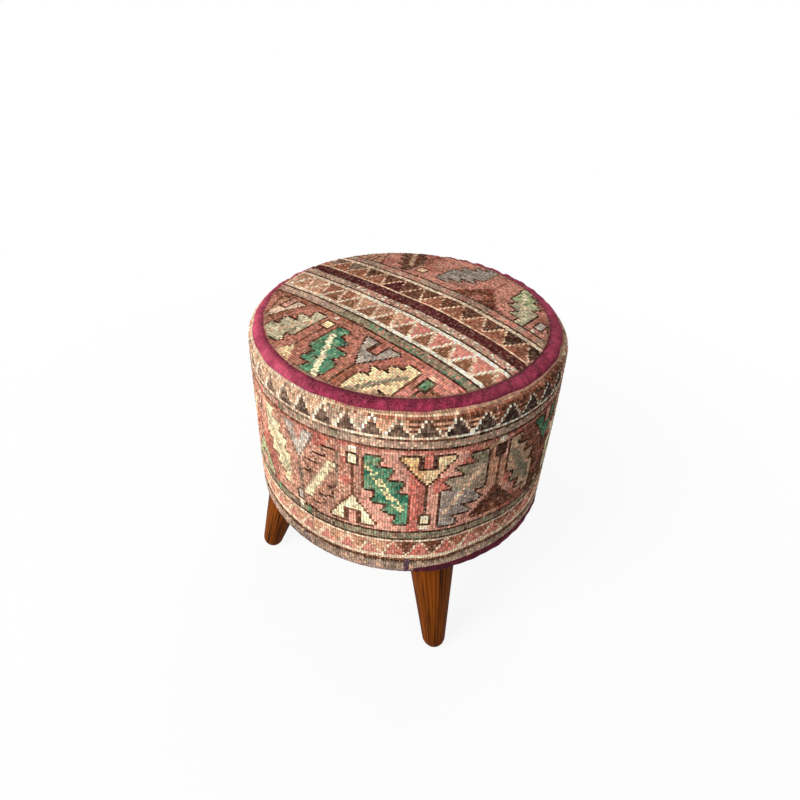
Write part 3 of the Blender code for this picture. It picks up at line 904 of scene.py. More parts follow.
def side_pull(u, row):
    """Rows by which the carpet is drawn up to the right of the front, and let down to its left."""
    seen = 1 - smooth_step(np.abs(u), *PULL_ENDS)
    below = np.clip((row - PULL_START) / (SIDE_ROWS - PULL_START), 0, 1)
    up = PULL_UP * smooth_step(u, *PULL_COLUMNS) * below
    down = sum((even + left * smooth_step(-u, *columns)) * hump(row, *rows)
               for even, left, columns, rows in LET_DOWN)
    return (up - down) * seen - ROWS_LOWER * smooth_step(row, 0, 8)


def side_points(column, row, lift):
    """Points of the side carpet for columns from its seam behind and rows from the lip."""
    angle = FRONT + math.pi + math.tau * column / SIDE_COLS
    share = (row - side_pull(column - SIDE_COLS / 2, row)) / SIDE_ROWS
    return on_rim(share * SIDE_LENGTH, lift + side_swell(angle, share), angle).reshape(-1, 3)


def make_side_carpet(material):
    """Strip of knots round the drum, with a back that closes it at both edges."""
    rows, cols = SIDE_ROWS, SIDE_COLS
    columns = np.arange(cols)
    sideways, row, shift, groove = loose_grid(columns, np.arange(rows + 1))
    groove[:, 0] -= SIDE_SEAM
    corners = side_points(sideways, row + shift * ((row > 0) & (row < rows)), groove)
    column, row = np.meshgrid(columns + 0.5, np.arange(rows) + 0.5)
    middles = side_points(column, row, knot_crowns(column.shape))
    column, row = np.meshgrid(columns, rows * np.array(BACK_RINGS))
    back = side_points(column, row, -CARPET_T)

    start = len(corners) + len(middles)
    after = (columns + 1) % cols
    rings = [rows * cols] + [start + s * cols for s in range(len(BACK_RINGS))] + [0]
    backing = np.concatenate([np.stack([p + columns, q + columns, q + after, p + after], -1)
                              for p, q in zip(rings, rings[1:])])
    strip = np.arange(len(rings) - 1)[:, None]
    high = SIDE_UV_LOW * 0.8 / len(rings)
    strips = quad_uv(columns / cols, (columns + 1) / cols, high * strip, high * (strip + 1))
    uv = np.concatenate([knot_uv(rows, cols, SIDE_UV_LOW).reshape(-1, 2), strips])
    knots = knot_faces(rows, cols, cols).reshape(-1, 3)
    colour = with_backs(knot_colours(side_weave()), backing.size)
    points = np.concatenate([corners, middles, back])
    return mesh_piece("side_carpet_pile", points, [knots, backing], material, uv, colour)


# Top carpet


# The top's piece was cut by hand: smaller than the seam, off centre, notched in front, wider behind
DISC_INSET = 2.0 * MM
DISC_OFFSET = 1.5 * MM
DISC_NOTCH = 2.8 * MM
DISC_BEHIND = 3.4 * MM
# Width of the edge where the swell ends, width of the worn edge, and the height that is worn off
CALM_EDGE = 12 * MM
WORN_EDGE = 4 * MM
EDGE_WEAR = 0.8 * MM
TOP_DEPTH = 0.7 * CARPET_T
TOP_UV_SPARE = 0.04
# Knots by which the rows bow at so many knots to the left and right, and the change of it from row to row
LEFT_BOW = 1.6
RIGHT_BOW = 5.0
BOW_SPAN = 55
BOW_CHANGE = 0.08
BOW_ROWS = 25
# Heights of the stuffing's lumps and ripples, and their waves along x and y: radians to the metre and start
TOP_LUMP = 0.6 * MM
TOP_RIPPLE = 0.3 * MM
TOP_LUMP_WAVES = ((31, 0.5), (27, 1.1))
TOP_RIPPLE_WAVES = (57, 43)
ALONG = np.array([math.cos(TOP_STRIPE_ANGLE), math.sin(TOP_STRIPE_ANGLE)])
ACROSS = np.array([ALONG[1], -ALONG[0]])


def behind(angle):
    """One behind the drum and a little to its left, where the binding sinks, and nought in front."""
    return near(angle, 112, 48)


def disc_radius(angle):
    """Radius of the top carpet."""
    even = SEAM_RADIUS - DISC_INSET + DISC_OFFSET * np.cos(angle - VIEW_AZIMUTH + math.radians(140))
    return even - DISC_NOTCH * near(angle, -46, 26) + DISC_BEHIND * behind(angle)


def disc_limit(flat):
    """Radius of the top carpet in the direction of each flat place."""
    return disc_radius(np.arctan2(flat[..., 1], flat[..., 0]))


def top_height(radius):
    return SEAM_Z + CROWN_RISE * (1 - np.clip(radius / SEAM_RADIUS, 0, 1) ** 3)


def top_swell(x, y):
    """Uneven stuffing under the top."""
    (wave_x, start_x), (wave_y, start_y) = TOP_LUMP_WAVES
    lumps = np.sin(x * wave_x + start_x) * np.sin(y * wave_y + start_y)
    ripple_x, ripple_y = TOP_RIPPLE_WAVES
    return TOP_LUMP * lumps + TOP_RIPPLE * np.sin(x * ripple_x - y * ripple_y)


def top_plan(u, row):
    """Flat place of a knot of the top, whose rows bow towards the photograph at their ends."""
    right = RIGHT_BOW - BOW_CHANGE * np.clip(row, -BOW_ROWS, BOW_ROWS)
    bow = np.where(u < 0, LEFT_BOW, right) * (u / BOW_SPAN) ** 2
    return (u[..., None] * ALONG + (row + bow)[..., None] * ACROSS) * KNOT


def top_points(u, row, lift, on_edge):
    """Points of the top carpet; those on its edge are drawn to the line where it was cut."""
    flat = top_plan(u, row)
    limit = disc_limit(flat)
    radius = np.maximum(np.linalg.norm(flat, axis=-1), 1e-9)
    flat = flat * np.where(on_edge, limit / radius, 1.0)[..., None]
    radius = np.linalg.norm(flat, axis=-1)
    x, y = flat[..., 0], flat[..., 1]
    swell = top_swell(x, y) * np.clip((limit - radius) / CALM_EDGE, 0, 1)
    wear_and_painted_light = EDGE_WEAR * np.clip(1 - (limit - radius) / WORN_EDGE, 0, 1)
    return np.stack([x, y, top_height(radius) + swell + lift - wear_and_painted_light], -1).reshape(-1, 3)


def close_below(points, triangles):
    """The points with those of a back added, and the faces of its wall and of its floor."""
    sides = np.concatenate([triangles[:, [0, 1]], triangles[:, [1, 2]], triangles[:, [2, 0]]])
    _, first, count = np.unique(np.sort(sides, axis=1), axis=0, return_index=True, return_counts=True)
    border = sides[first[count == 1]]
    rim = np.unique(border)
    low_of = np.full(len(points), -1)
    low_of[rim] = len(points) + np.arange(len(rim))
    hub = len(points) + len(rim)
    points = np.concatenate([points, points[rim] - (0, 0, TOP_DEPTH), [(0, 0, SEAM_Z - TOP_DEPTH)]])
    p, q = border[:, 0], border[:, 1]
    wall = np.stack([q, p, low_of[p], low_of[q]], -1)
    floor = np.stack([low_of[q], low_of[p], np.full(len(p), hub)], -1)
    return points, wall, floor


def make_top_carpet(material):
    """Round of knots cut from a square grid, with a wall and a floor that close it below."""
    n = TOP_KNOTS
    middle_u, middle_row = np.meshgrid(np.arange(n) + 0.5 - n / 2, np.arange(n) + 0.5 - n / 2)
    flat = top_plan(middle_u, middle_row)
    kept = np.linalg.norm(flat, axis=-1) < disc_limit(flat)
    whole = np.zeros((n + 1, n + 1), int)
    for down in (0, 1):
        for right in (0, 1):
            whole[down:n + down, right:n + right] += kept
    sideways, row, shift, groove = loose_grid(np.arange(n + 1) - n / 2, np.arange(n + 1) - n / 2)
    corners = top_points(sideways, row + shift, groove, (whole > 0) & (whole < 4))
    middles = top_points(middle_u, middle_row, knot_crowns(kept.shape), np.zeros(kept.shape, bool))

    used, knots = np.unique(knot_faces(n, n, n + 1)[kept].reshape(-1, 3), return_inverse=True)
    knots = knots.reshape(-1, 3)
    points, wall, floor = close_below(np.concatenate([corners, middles])[used], knots)
    spare = TOP_UV_SPARE * np.array([[0, 0], [1, 0], [1, 1], [0, 1]], float)
    backs = [np.tile(spare, (len(wall), 1)), np.tile(spare[:3], (len(floor), 1))]
    uv = np.concatenate([knot_uv(n, n, 0.0)[kept].reshape(-1, 2)] + backs)
    colour = with_backs(knot_colours(top_weave())[kept], wall.size + floor.size)
    return mesh_piece("top_carpet_pile", points, [knots, wall, floor], material, uv, colour)


# Cloth


def ring_angles(steps):
    """Angles of the sections of a ring, as a column."""
    return math.tau * np.arange(steps)[:, None] / steps


def turned_sheet(name, upper, thickness, material):
    """Ring of cloth from its upper face: an array of (angle, profile point, xyz)."""
    count, wide = upper.shape[:2]
    along = np.roll(upper, -1, axis=0) - np.roll(upper, 1, axis=0)
    normal = np.cross(np.gradient(upper, axis=1), along)
    normal /= np.linalg.norm(normal, axis=-1, keepdims=True)
    lower = upper - normal * thickness[..., None]
    loop = np.concatenate([upper, lower[:, ::-1]], axis=1)
    size = 2 * wide
    i, j = np.meshgrid(np.arange(count), np.arange(size), indexing="ij")
    uv = quad_uv(i / count, (i + 1) / count, j / size, (j + 1) / size)
    return ring_piece(name, loop, material, uv)


BINDING_STEPS = 900
BINDING_ROWS = 18
BINDING_T = 1.5 * MM
# Start under the top carpet, knee over the seam, and lift of the hem off the lip
BINDING_TUCK = 2.5 * MM
BINDING_START_Z = SEAM_Z - 0.62 * CARPET_T
KNEE_OUT = 2.2 * MM
KNEE_RISE = 1.9 * MM
KNEE_SINK = 5.0 * MM
KNEE_WAVES = [(0.5 * MM, 23, 0, 0)]
HEM_LIFT = 1.9 * MM
# Length from the lip to the hem: mean, wander round the drum and where it is longest, a dip at the left
# with its place and width in degrees, and small waves
HEM_REACH = 4.6 * MM
HEM_WANDER = 2.4 * MM
HEM_LONGEST = math.radians(30)
HEM_DIP = 1.0 * MM
HEM_DIP_AT = (-96, 16)
HEM_WAVES = [(0.45 * MM, 19, 0, 1), (0.3 * MM, 31, 0, 0)]
# Heights of the puckers, of the lumps at the right, and depth of the folds
PUCKER = 0.45 * MM
LUMP = 1.0 * MM
FOLD = 1.8 * MM
# Puckers: share of the height, count round the drum, its wobble and the wobble's own count, and slant
PUCKERS = [(1.0, 47, 2, 5, 0), (0.6, 131, 0, 0, 4), (0.7, 83, 3, 7, 2)]
LUMP_COUNT = 49
LUMPS_AT = math.radians(25)
# Deep folds, in degrees from the photograph's right
FOLDS = (-242, -207, -161, -124, -97, -69, -43, -2, 43, 74)
FOLD_WIDTH = 1.4
# Rolled hem: share of the width where it starts, its drop, and the share of the thickness that it loses
ROLL_START = 0.88
ROLL_DROP = 1.4 * MM
ROLL_THINNER = 0.75
# Shares of the swell that go outward and upward, and the power by which it eases at the seams
SWELL_OUT = 0.5
SWELL_UP = 0.85
SWELL_EASE = 0.8


def hem_length(angle):
    """Length along the side's profile from the lip to the binding's hem."""
    wander = HEM_WANDER * np.cos(2 * (angle - VIEW_AZIMUTH - HEM_LONGEST))
    return HEM_REACH + wander + HEM_DIP * near(angle, *HEM_DIP_AT) + waves(HEM_WAVES, angle)


def binding_swell(angle, t):
    """Puckers, lumps and folds of the gathered binding, across its width t."""
    pucker = sum(share * np.sin(count * angle + wobble * np.sin(turns * angle) + slant * t)
                 for share, count, wobble, turns, slant in PUCKERS)
    lumps = np.clip(np.cos(angle - VIEW_AZIMUTH - LUMPS_AT), 0, 1) ** 2 * np.sin(LUMP_COUNT * angle)
    folds = sum(near(angle, fold, FOLD_WIDTH) for fold in FOLDS)
    return (PUCKER * pucker + LUMP * lumps - FOLD * folds) * np.sin(math.pi * t) ** SWELL_EASE


def make_top_binding(material):
    """Felted strip from under the top carpet's edge to a rolled hem on the lip, puckered by its seams."""
    angle = ring_angles(BINDING_STEPS)
    t = np.linspace(0, 1, BINDING_ROWS)[None]
    hem_r, hem_z, hem_out, hem_up = rim_profile(hem_length(angle))
    hem_r = hem_r + HEM_LIFT * hem_out
    hem_z = hem_z + HEM_LIFT * hem_up
    start_r = disc_radius(angle) - BINDING_TUCK
    knee_r = 0.5 * (start_r + hem_r) + KNEE_OUT + waves(KNEE_WAVES, angle)
    knee_z = SEAM_Z + KNEE_RISE - KNEE_SINK * behind(angle)
    w0, w1, w2 = (1 - t) ** 2, 2 * t * (1 - t), t ** 2
    swell = binding_swell(angle, t)
    roll = np.clip((t - ROLL_START) / (1 - ROLL_START), 0, 1) ** 2
    r = w0 * start_r + w1 * knee_r + w2 * hem_r + SWELL_OUT * swell
    z = w0 * BINDING_START_Z + w1 * knee_z + w2 * hem_z + SWELL_UP * swell - roll * ROLL_DROP
    thickness = np.broadcast_to(BINDING_T * (1 - ROLL_THINNER * roll), r.shape)
    return turned_sheet("top_binding_cloth", turned(r, angle, z), thickness, material)


HEM_STEPS = 480
HEM_T = 0.9 * MM
# Lap under the dust cover, sag under the drum and the two places where the sag ends, from the outside
HEM_LAP = 4 * MM
HEM_SAG = 0.8 * MM
SAG_ENDS = (14 * MM, 20 * MM)
# Step in from the carpet where the hem is hidden, step out where it shows, and rise at which it shows whole
HEM_STEP_IN = 0.8 * MM
HEM_STEP_OUT = 2.0 * MM
HEM_SHOWN = 4 * MM
# Radius of the turn under the drum, what is added where the hem shows, reach up behind the carpet, and the
# step in and down at the upper edge
HEM_ROUND = 3 * MM
HEM_MORE_ROUND = 5 * MM
HEM_REACH_UP = 1.5 * MM
HEM_EDGE = (1.0 * MM, 1.2 * MM)
HEM_RIPPLE = 0.3 * MM
HEM_CREASE = 0.25 * MM
# Counts of ripples and creases round the hem, the creases' slant in radians to the metre, and the count
# of the gathers under the drum with its wobble and the wobble's own count
HEM_RIPPLES = 29
HEM_CREASES = 67
HEM_CREASE_SLANT = 300
HEM_GATHERS = (72, 2, 5)
# Columns where the hem shows, its rise there, and the columns over which its rise and its turn grow
HEM_COLUMNS = (6, 9, 66, 90)
HEM_RISE = 3.2 * MM
HEM_MORE_RISE = 7.0 * MM
RISE_COLUMNS = (8, 40)
TURN_COLUMNS = (14, 34)
# Steps of the quarter round where the hem turns under the drum
HEM_TURN = 6


def hem_rise(angle):
    """How far the bottom hem climbs over the carpet; it shows only to the right of the front."""
    u = from_front(angle)
    return hump(u, *HEM_COLUMNS) * (HEM_RISE + HEM_MORE_RISE * smooth_step(u, *RISE_COLUMNS))


def make_bottom_binding(material):
    """Hem cloth under the carpet's lower edge, turned in under the drum and slightly gathered."""
    angle = ring_angles(HEM_STEPS)
    level = 0 * angle
    inner = COVER_RADIUS - HEM_LAP
    low = UNDERSIDE_Z - HEM_SAG
    rise = hem_rise(angle)
    shown = np.clip(rise / HEM_SHOWN, 0, 1)
    outer = OUTER_RADIUS - HEM_STEP_IN + HEM_STEP_OUT * shown
    corner = HEM_ROUND + HEM_MORE_ROUND * shown * smooth_step(from_front(angle), *TURN_COLUMNS)
    top = HEM_TOP_Z + HEM_REACH_UP + rise
    edge_in, edge_down = HEM_EDGE
    rows = [(outer - edge_in * shown, top), (outer, top - edge_down), (outer, 0.5 * (top + low + corner))]
    for i in range(HEM_TURN + 1):
        turn = math.pi / 2 * i / HEM_TURN
        rows.append((outer - corner + corner * math.cos(turn), low + corner - corner * math.sin(turn)))
    rows += [(outer - SAG_ENDS[0], level + low), (outer - SAG_ENDS[1], level + UNDERSIDE_Z),
             (level + inner, level + UNDERSIDE_Z)]
    r = np.concatenate([p[0] for p in rows], axis=1)
    z = np.concatenate([p[1] for p in rows], axis=1)
    share = np.clip((OUTER_RADIUS - r) / (OUTER_RADIUS - inner), 0, 1)
    creases = np.sin(HEM_CREASES * angle + HEM_CREASE_SLANT * z)
    r = r + HEM_RIPPLE * np.sin(HEM_RIPPLES * angle) * (1 - share) + HEM_CREASE * creases * shown
    count, wobble, turns = HEM_GATHERS
    z = z + HEM_RIPPLE * (1 + np.sin(count * angle + wobble * np.sin(turns * angle)) * share)
    return turned_sheet("bottom_binding_cloth", turned(r, angle, z), np.full(r.shape, HEM_T), material)


COVER_STEPS = 180
COVER_RINGS = 24
COVER_T = 0.9 * MM
# Share of the radius that is open in the middle, drop below the hem, sag, and puckers at the staples
COVER_HOLE = 0.02
COVER_DROP = 0.5 * MM
COVER_SAG = 0.3 * MM
COVER_PUCKER = 0.1 * MM


def make_dust_cover(material):
    """Black cloth disc, laid over the hem's edge and sagging a little between the legs."""
    angle = ring_angles(COVER_STEPS)
    share = np.linspace(COVER_HOLE, 1, COVER_RINGS)[None]
    ripple = np.sin(9 * angle + 6 * share) * share * (1 - share)
    z = UNDERSIDE_Z - COVER_DROP - COVER_SAG * (np.cos(share * math.pi / 2) + ripple)
    z = z + COVER_PUCKER * np.sin(40 * angle) * share ** 8
    under = turned(COVER_RADIUS * share, angle, z)[:, ::-1]
    over = under[:, ::-1] + (0, 0, COVER_T)
    return ring_piece("dust_cover_cloth", np.concatenate([under, over], axis=1), material)


# Padding under the cover


def turned_solid(name, outline, steps, ripple, material):
    """Closed ring turned from a loop of (radius, height)."""
    angle = ring_angles(steps)
    r, z = np.array(outline).T
    return ring_piece(name, turned(r + ripple * np.sin(11 * angle + 40 * z), angle, z), material)


FOAM_SECTIONS = 96
FOAM_HOLE = 3 * MM
FOAM_STEPS = 10
# Gap under the top carpet, end of the crown inside the seam, drop of the edge below the lip, and the
# edge's ease and fit
FOAM_GAP = 1.6 * MM
FOAM_CROWN_END = 6 * MM
FOAM_DROP = 8 * MM
FOAM_EASE = 3 * MM
FOAM_FIT = 0.6 * MM


def make_seat_foam(material):
    """Crowned foam cushion with an eased edge and a small hole on its axis."""
    radii = np.linspace(FOAM_HOLE, SEAM_RADIUS - FOAM_CROWN_END, FOAM_STEPS + 1)
    outline = [(r, top_height(r) - CARPET_T - FOAM_GAP) for r in radii]
    edge_r = FOAM_RADIUS - FOAM_FIT
    edge_z = LIP_Z - FOAM_DROP
    outline += [(FOAM_RADIUS - FOAM_EASE, edge_z), (edge_r, edge_z - FOAM_EASE), (edge_r, FOAM_LOW_Z),
                (FOAM_HOLE, FOAM_LOW_Z)]
    return turned_solid("seat_foam_cushion", outline, FOAM_SECTIONS, 0.0, material)


WADDING_SECTIONS = 180
# Room outside and inside the wadding, its drop below the lip, the ease of its upper edge, and its ripples
WADDING_ROOM = (1.0 * MM, 0.5 * MM)
WADDING_DROP = 14 * MM
WADDING_EASE = (2 * MM, 3 * MM)
WADDING_RIPPLE = 0.2 * MM


def make_wadding(material):
    """Layer between the foam and the side carpet."""
    outer = WADDING_RADIUS - WADDING_ROOM[0]
    inner = FOAM_RADIUS + WADDING_ROOM[1]
    top = LIP_Z - WADDING_DROP
    ease_in, ease_down = WADDING_EASE
    outline = [(inner, top), (outer - ease_in, top), (outer, top - ease_down), (outer, WADDING_LOW_Z),
               (inner, WADDING_LOW_Z)]
    return turned_solid("side_wadding_layer", outline, WADDING_SECTIONS, WADDING_RIPPLE, material)


# Threads and fastenings


def bar_faces(base, sections, sides):
    """Faces of a thin bar from its first point: between its sections, then its two ends."""
    faces = []
    for s in range(sections - 1):
        for k in range(sides):
            p, q = base + sides * s + k, base + sides * s + (k + 1) % sides
            faces.append((p, q, q + sides, p + sides))
    end = base + sides * (sections - 1)
    return faces + [tuple(range(base, base + sides))[::-1], tuple(range(end, end + sides))]


STRAND_SIDES = 3


def make_strands(name, paths, colours, radius, taper, material):
    """Many thin strands, each along a list of points and of one colour."""
    points, faces = [], []
    for path in paths:
        steps = len(path)
        faces += bar_faces(len(points), steps, STRAND_SIDES)
        for s in range(steps):
            ahead = path[min(s + 1, steps - 1)] - path[max(s - 1, 0)]
            ahead = ahead / np.linalg.norm(ahead)
            side = np.cross(ahead, (0.0, 0.0, 1.0))
            side = side / max(np.linalg.norm(side), 1e-9)
            up = np.cross(side, ahead)
            size = radius * (1 - taper * s / (steps - 1))
            for k in range(STRAND_SIDES):
                turn = math.tau * k / STRAND_SIDES + math.pi / 6
                points.append(path[s] + size * (math.cos(turn) * side + math.sin(turn) * up))
    corners = sum(len(face) for face in faces) // len(paths)
    return mesh_piece(name, points, [faces], material, None, np.repeat(colours, corners, axis=0))


FRINGE_COUNT = 900
FRINGE_ROOT = 1.5 * MM
FRINGE_RADIUS = 0.36 * MM
FRINGE_TAPER = 0.5
FRINGE_WOOLS = {"selvedge": 0.35, "coral": 0.3, "rose": 0.2, "rust": 0.15}
FRINGE_LIGHT = (0.6, 1.1)
# Most shift in places, spread of the skew, lift at the root and droop of the end
FRINGE_STRAY = 0.4
FRINGE_SKEW = 0.25
FRINGE_LIFT = 0.3 * MM
FRINGE_DROOP = 0.2 * MM
# Angle to the left of the front where most show, share that is there and what is added to it at that angle,
# and least and most reach with what is added there, in millimetres
FRINGE_LEFT = math.radians(28)
FRINGE_KEPT = (0.3, 0.65)
FRINGE_REACH = (0.7, 1.2, 2.0)


def make_fringe(material):
    """Cut warp ends of the top carpet, lying out over the binding; most show at the front."""
    paths, colours = [], []
    kept, more_kept = FRINGE_KEPT
    least, most, longer = FRINGE_REACH
    t = np.linspace(0, 1, 4)
    for i in range(FRINGE_COUNT):
        angle = math.tau * (i + rng.uniform(-FRINGE_STRAY, FRINGE_STRAY)) / FRINGE_COUNT
        facing = max(math.cos(angle - FRONT + FRINGE_LEFT), 0) ** 3
        if rng.uniform() > kept + more_kept * facing:
            continue
        reach = rng.uniform(least, most + longer * facing) * MM
        skew = rng.normal(0, FRINGE_SKEW)
        r = disc_radius(angle) - FRINGE_ROOT + (reach + FRINGE_ROOT) * t
        z = SEAM_Z + FRINGE_LIFT * (1 - t) - FRINGE_DROOP * t * t
        paths.append(turned(r, angle + skew * reach * t / SEAM_RADIUS, z))
        wool = rng.choice(list(FRINGE_WOOLS), p=list(FRINGE_WOOLS.values()))
        colours.append(wool_light(wool) * rng.uniform(*FRINGE_LIGHT))
    return make_strands("top_carpet_fringe", paths, colours, FRINGE_RADIUS, FRINGE_TAPER, material)


OVERCAST_COUNT = 760
OVERCAST_SLANT = 1.6 * MM
OVERCAST_RADIUS = 0.75 * MM
OVERCAST_TAPER = 0.2
OVERCAST_STRAY = 0.3
OVERCAST_LIGHT = (0.65, 1.3)
# Tuck under the hem, least and most reach in millimetres, and lift off the carpet
OVERCAST_TUCK = 1.0 * MM
OVERCAST_REACH = (3.8, 4.6)
OVERCAST_LIFT = 0.35 * MM
# The thread is paler to the left of this many degrees from the photograph's right
OVERCAST_CHANGE = -113
PALE_THREAD = ["ivory", "bone", "selvedge"]
WARM_THREAD = ["selvedge", "sand", "coral", "coral"]


def make_overcast(material):
    """Thread wrapped over the side carpet's selvedge, just outside the binding's hem."""
    paths, colours = [], []
    t = np.linspace(0, 1, 5)
    for i in range(OVERCAST_COUNT):
        angle = math.tau * (i + rng.uniform(-OVERCAST_STRAY, OVERCAST_STRAY)) / OVERCAST_COUNT
        start = hem_length(angle) - OVERCAST_TUCK
        reach = rng.uniform(*OVERCAST_REACH) * MM
        lift = OVERCAST_LIFT * (1 + np.sin(math.pi * t))
        paths.append(on_rim(start + reach * t, lift, angle + OVERCAST_SLANT * t / OUTER_RADIUS))
        pale = math.degrees(angle - VIEW_AZIMUTH) % 360 - 360 < OVERCAST_CHANGE
        wool = rng.choice(PALE_THREAD if pale else WARM_THREAD)
        colours.append(wool_light(wool) * rng.uniform(*OVERCAST_LIGHT))
    return make_strands("lip_overcast", paths, colours, OVERCAST_RADIUS, OVERCAST_TAPER, material)


STAPLE_COUNT = 40
STAPLE_INSET = 6 * MM
STAPLE_HALF_WIRE = 0.35 * MM
WIRE_CORNERS = ((-1, -1), (1, -1), (1, 1), (-1, 1))
# Places along a staple and heights of its wire, in millimetres
STAPLE_PATH = ((-5.0, 1.2), (-5.0, 0.3), (-4.4, 0.0), (4.4, 0.0), (5.0, 0.3), (5.0, 1.2))
LEG_CLEARANCE = math.radians(13)


def make_staples(material):
    """Wire staples that hold the hem's edge and the dust cover to the base board."""
    points, faces = [], []
    up = np.array([0, 0, 1.0])
    for i in range(STAPLE_COUNT):
        angle = math.tau * (i + 0.5) / STAPLE_COUNT
        if min(abs(wrapped(angle - leg)) for leg in LEG_ANGLES) < LEG_CLEARANCE:
            continue
        along = turned(1.0, angle + math.pi / 2 + rng.normal(0, 0.12), 0.0)
        middle = turned(COVER_RADIUS - STAPLE_INSET, angle, UNDERSIDE_Z - 0.75 * MM)
        side = np.cross(along, up)
        faces += bar_faces(len(points), len(STAPLE_PATH), len(WIRE_CORNERS))
        for place, dip in STAPLE_PATH:
            wire = middle + (along * place + up * dip) * MM
            points += [wire + STAPLE_HALF_WIRE * (side * x + up * z) for x, z in WIRE_CORNERS]
    return mesh_piece("cover_staples", points, [faces], material, smooth=False)


# Materials


def make(tree, kind, settings=None, inputs=None):
    """Add a node, set its options, and set or link its inputs."""
    node = tree.nodes.new(kind)
    for name, value in (settings or {}).items():
        setattr(node, name, value)
    for name, value in (inputs or {}).items():
        if isinstance(value, bpy.types.NodeSocket):
            tree.links.new(value, node.inputs[name])
        else:
            node.inputs[name].default_value = value
    return node


def calc(tree, operation, a, b=0.0):
    return make(tree, "ShaderNodeMath", {"operation": operation}, {0: a, 1: b}).outputs[0]


def times(tree, a, b):
    return calc(tree, "MULTIPLY", a, b)


def larger(tree, a, b):
    return calc(tree, "MAXIMUM", a, b)


def vector(tree, operation, inputs):
    """Result of a vector operation, which is a number for a length or a dot product."""
    node = make(tree, "ShaderNodeVectorMath", {"operation": operation}, inputs)
    return node.outputs["Value" if operation in ("LENGTH", "DOT_PRODUCT") else "Vector"]


def mix_colour(tree, fac, a, b, blend="MIX"):
    node = make(tree, "ShaderNodeMix", {"data_type": "RGBA", "blend_type": blend}, {0: fac, 6: a, 7: b})
    return node.outputs[2]


def shade_colour(tree, colour, value):
    """A colour times a number."""
    grey = make(tree, "ShaderNodeCombineXYZ", None, {"X": value, "Y": value, "Z": value}).outputs[0]
    return mix_colour(tree, 1.0, colour, grey, "MULTIPLY")


def remap(tree, value, low, high, to_low, to_high):
    inputs = {"Value": value, "From Min": low, "From Max": high, "To Min": to_low, "To Max": to_high}
    return make(tree, "ShaderNodeMapRange", {"clamp": True}, inputs).outputs[0]


def noise(tree, place, scale, detail=3.0, roughness=0.55):
    inputs = {"Vector": place, "Scale": scale, "Detail": detail, "Roughness": roughness}
    return make(tree, "ShaderNodeTexNoise", None, inputs).outputs["Fac"]


def object_coordinates(tree):
    return make(tree, "ShaderNodeTexCoord").outputs["Object"]


def bake_uv(tree):
    return make(tree, "ShaderNodeUVMap", {"uv_map": "OFBake"}).outputs["UV"]


def wool_attribute(tree):
    return make(tree, "ShaderNodeAttribute", {"attribute_name": "wool"}).outputs["Color"]


def rgba(colour):
    return (*[float(c) for c in linear(colour)], 1.0)


def new_material(name, roughness, specular=0.1, metallic=0.0):
    """Material with a Principled shader whose uniform values are set on its own sockets."""
    material = bpy.data.materials.new(name)
    material.use_nodes = True
    tree = material.node_tree
    shader = tree.nodes["Principled BSDF"]
    shader.inputs["Roughness"].default_value = roughness
    shader.inputs["Specular IOR Level"].default_value = specular
    shader.inputs["Metallic"].default_value = metallic
    return material, tree, shader


def finish_shader(tree, shader, colour, height, strength, distance):
    """Link a colour and the bumps of a height field."""
    tree.links.new(colour, shader.inputs["Base Color"])
    inputs = {"Height": height, "Strength": strength, "Distance": distance}
    tree.links.new(make(tree, "ShaderNodeBump", None, inputs).outputs["Normal"], shader.inputs["Normal"])


def from_middle(tree, value):
    """Distance of a number from the middle between two whole numbers."""
    return calc(tree, "ABSOLUTE", calc(tree, "SUBTRACT", calc(tree, "FRACT", value), 0.5))


def carpet_material(name, cols, rows, uv_low, column_gap_shade, row_gap_shade):
    """Wool knots: two loops of pile side by side in each knot, with painted shade between the loops and the
    knots and over the weft between the rows, painted light on the knots' middles, and painted glints.
    """
    material, tree, shader = new_material(name, 0.95, 0.05)
    split = make(tree, "ShaderNodeSeparateXYZ", None, {"Vector": bake_uv(tree)})
    x = times(tree, split.outputs["X"], cols)
    y = times(tree, calc(tree, "SUBTRACT", split.outputs["Y"], uv_low), rows / (1 - uv_low))
    loop = {"X": calc(tree, "FLOOR", times(tree, x, 2.0)), "Y": calc(tree, "FLOOR", y)}
    cell = {"Vector": make(tree, "ShaderNodeCombineXYZ", None, loop).outputs[0]}
    chance = make(tree, "ShaderNodeTexWhiteNoise", {"noise_dimensions": "2D"}, cell).outputs["Value"]
    off_x, off_y = from_middle(tree, x), from_middle(tree, y)
    between_knots = remap(tree, off_x, 0.26, 0.5, 0.0, column_gap_shade)
    between_loops = remap(tree, off_x, 0.0, 0.12, 0.4, 0.0)
    between_rows = remap(tree, off_y, 0.26, 0.5, 0.0, row_gap_shade)
    gap = larger(tree, larger(tree, between_knots, between_loops), between_rows)
    place = object_coordinates(tree)
    fibre = noise(tree, place, 1500.0, 2.0)
    depth = remap(tree, noise(tree, place, 260.0, 2.0), 0.3, 0.7, 0.55, 1.1)
    loop_light = remap(tree, chance, 0.0, 1.0, 0.72, 1.28)
    light = times(tree, loop_light, remap(tree, fibre, 0.3, 0.7, 0.84, 1.16))
    # Painted light and shade: the knots' middles lighter, the gaps between knots, loops and rows darker
    shade = remap(tree, times(tree, gap, depth), 0.0, 1.0, 1.36, 0.22)
    shaded = shade_colour(tree, wool_attribute(tree), times(tree, light, shade))
    # Painted glints: sparse loops mixed towards ivory, where light catches pale fibre ends
    painted_glint = remap(tree, chance, 0.92, 0.98, 0.0, 0.16)
    colour = mix_colour(tree, painted_glint, shaded, rgba(WOOLS["ivory"][0]))
    height = calc(tree, "ADD", times(tree, gap, -1.0), times(tree, fibre, 0.5))
    finish_shader(tree, shader, colour, height, 0.7, 0.6 * MM)
    return material


# Painted light and shade of the felt's fine gathers: noise cells round the drum and across the binding
GATHER_SHADE_CELLS = (420, 4.0, 0.0)
# Colour of the painted light on the felt's left and right sides
PAINTED_LIGHT_FELT = (218, 92, 120)


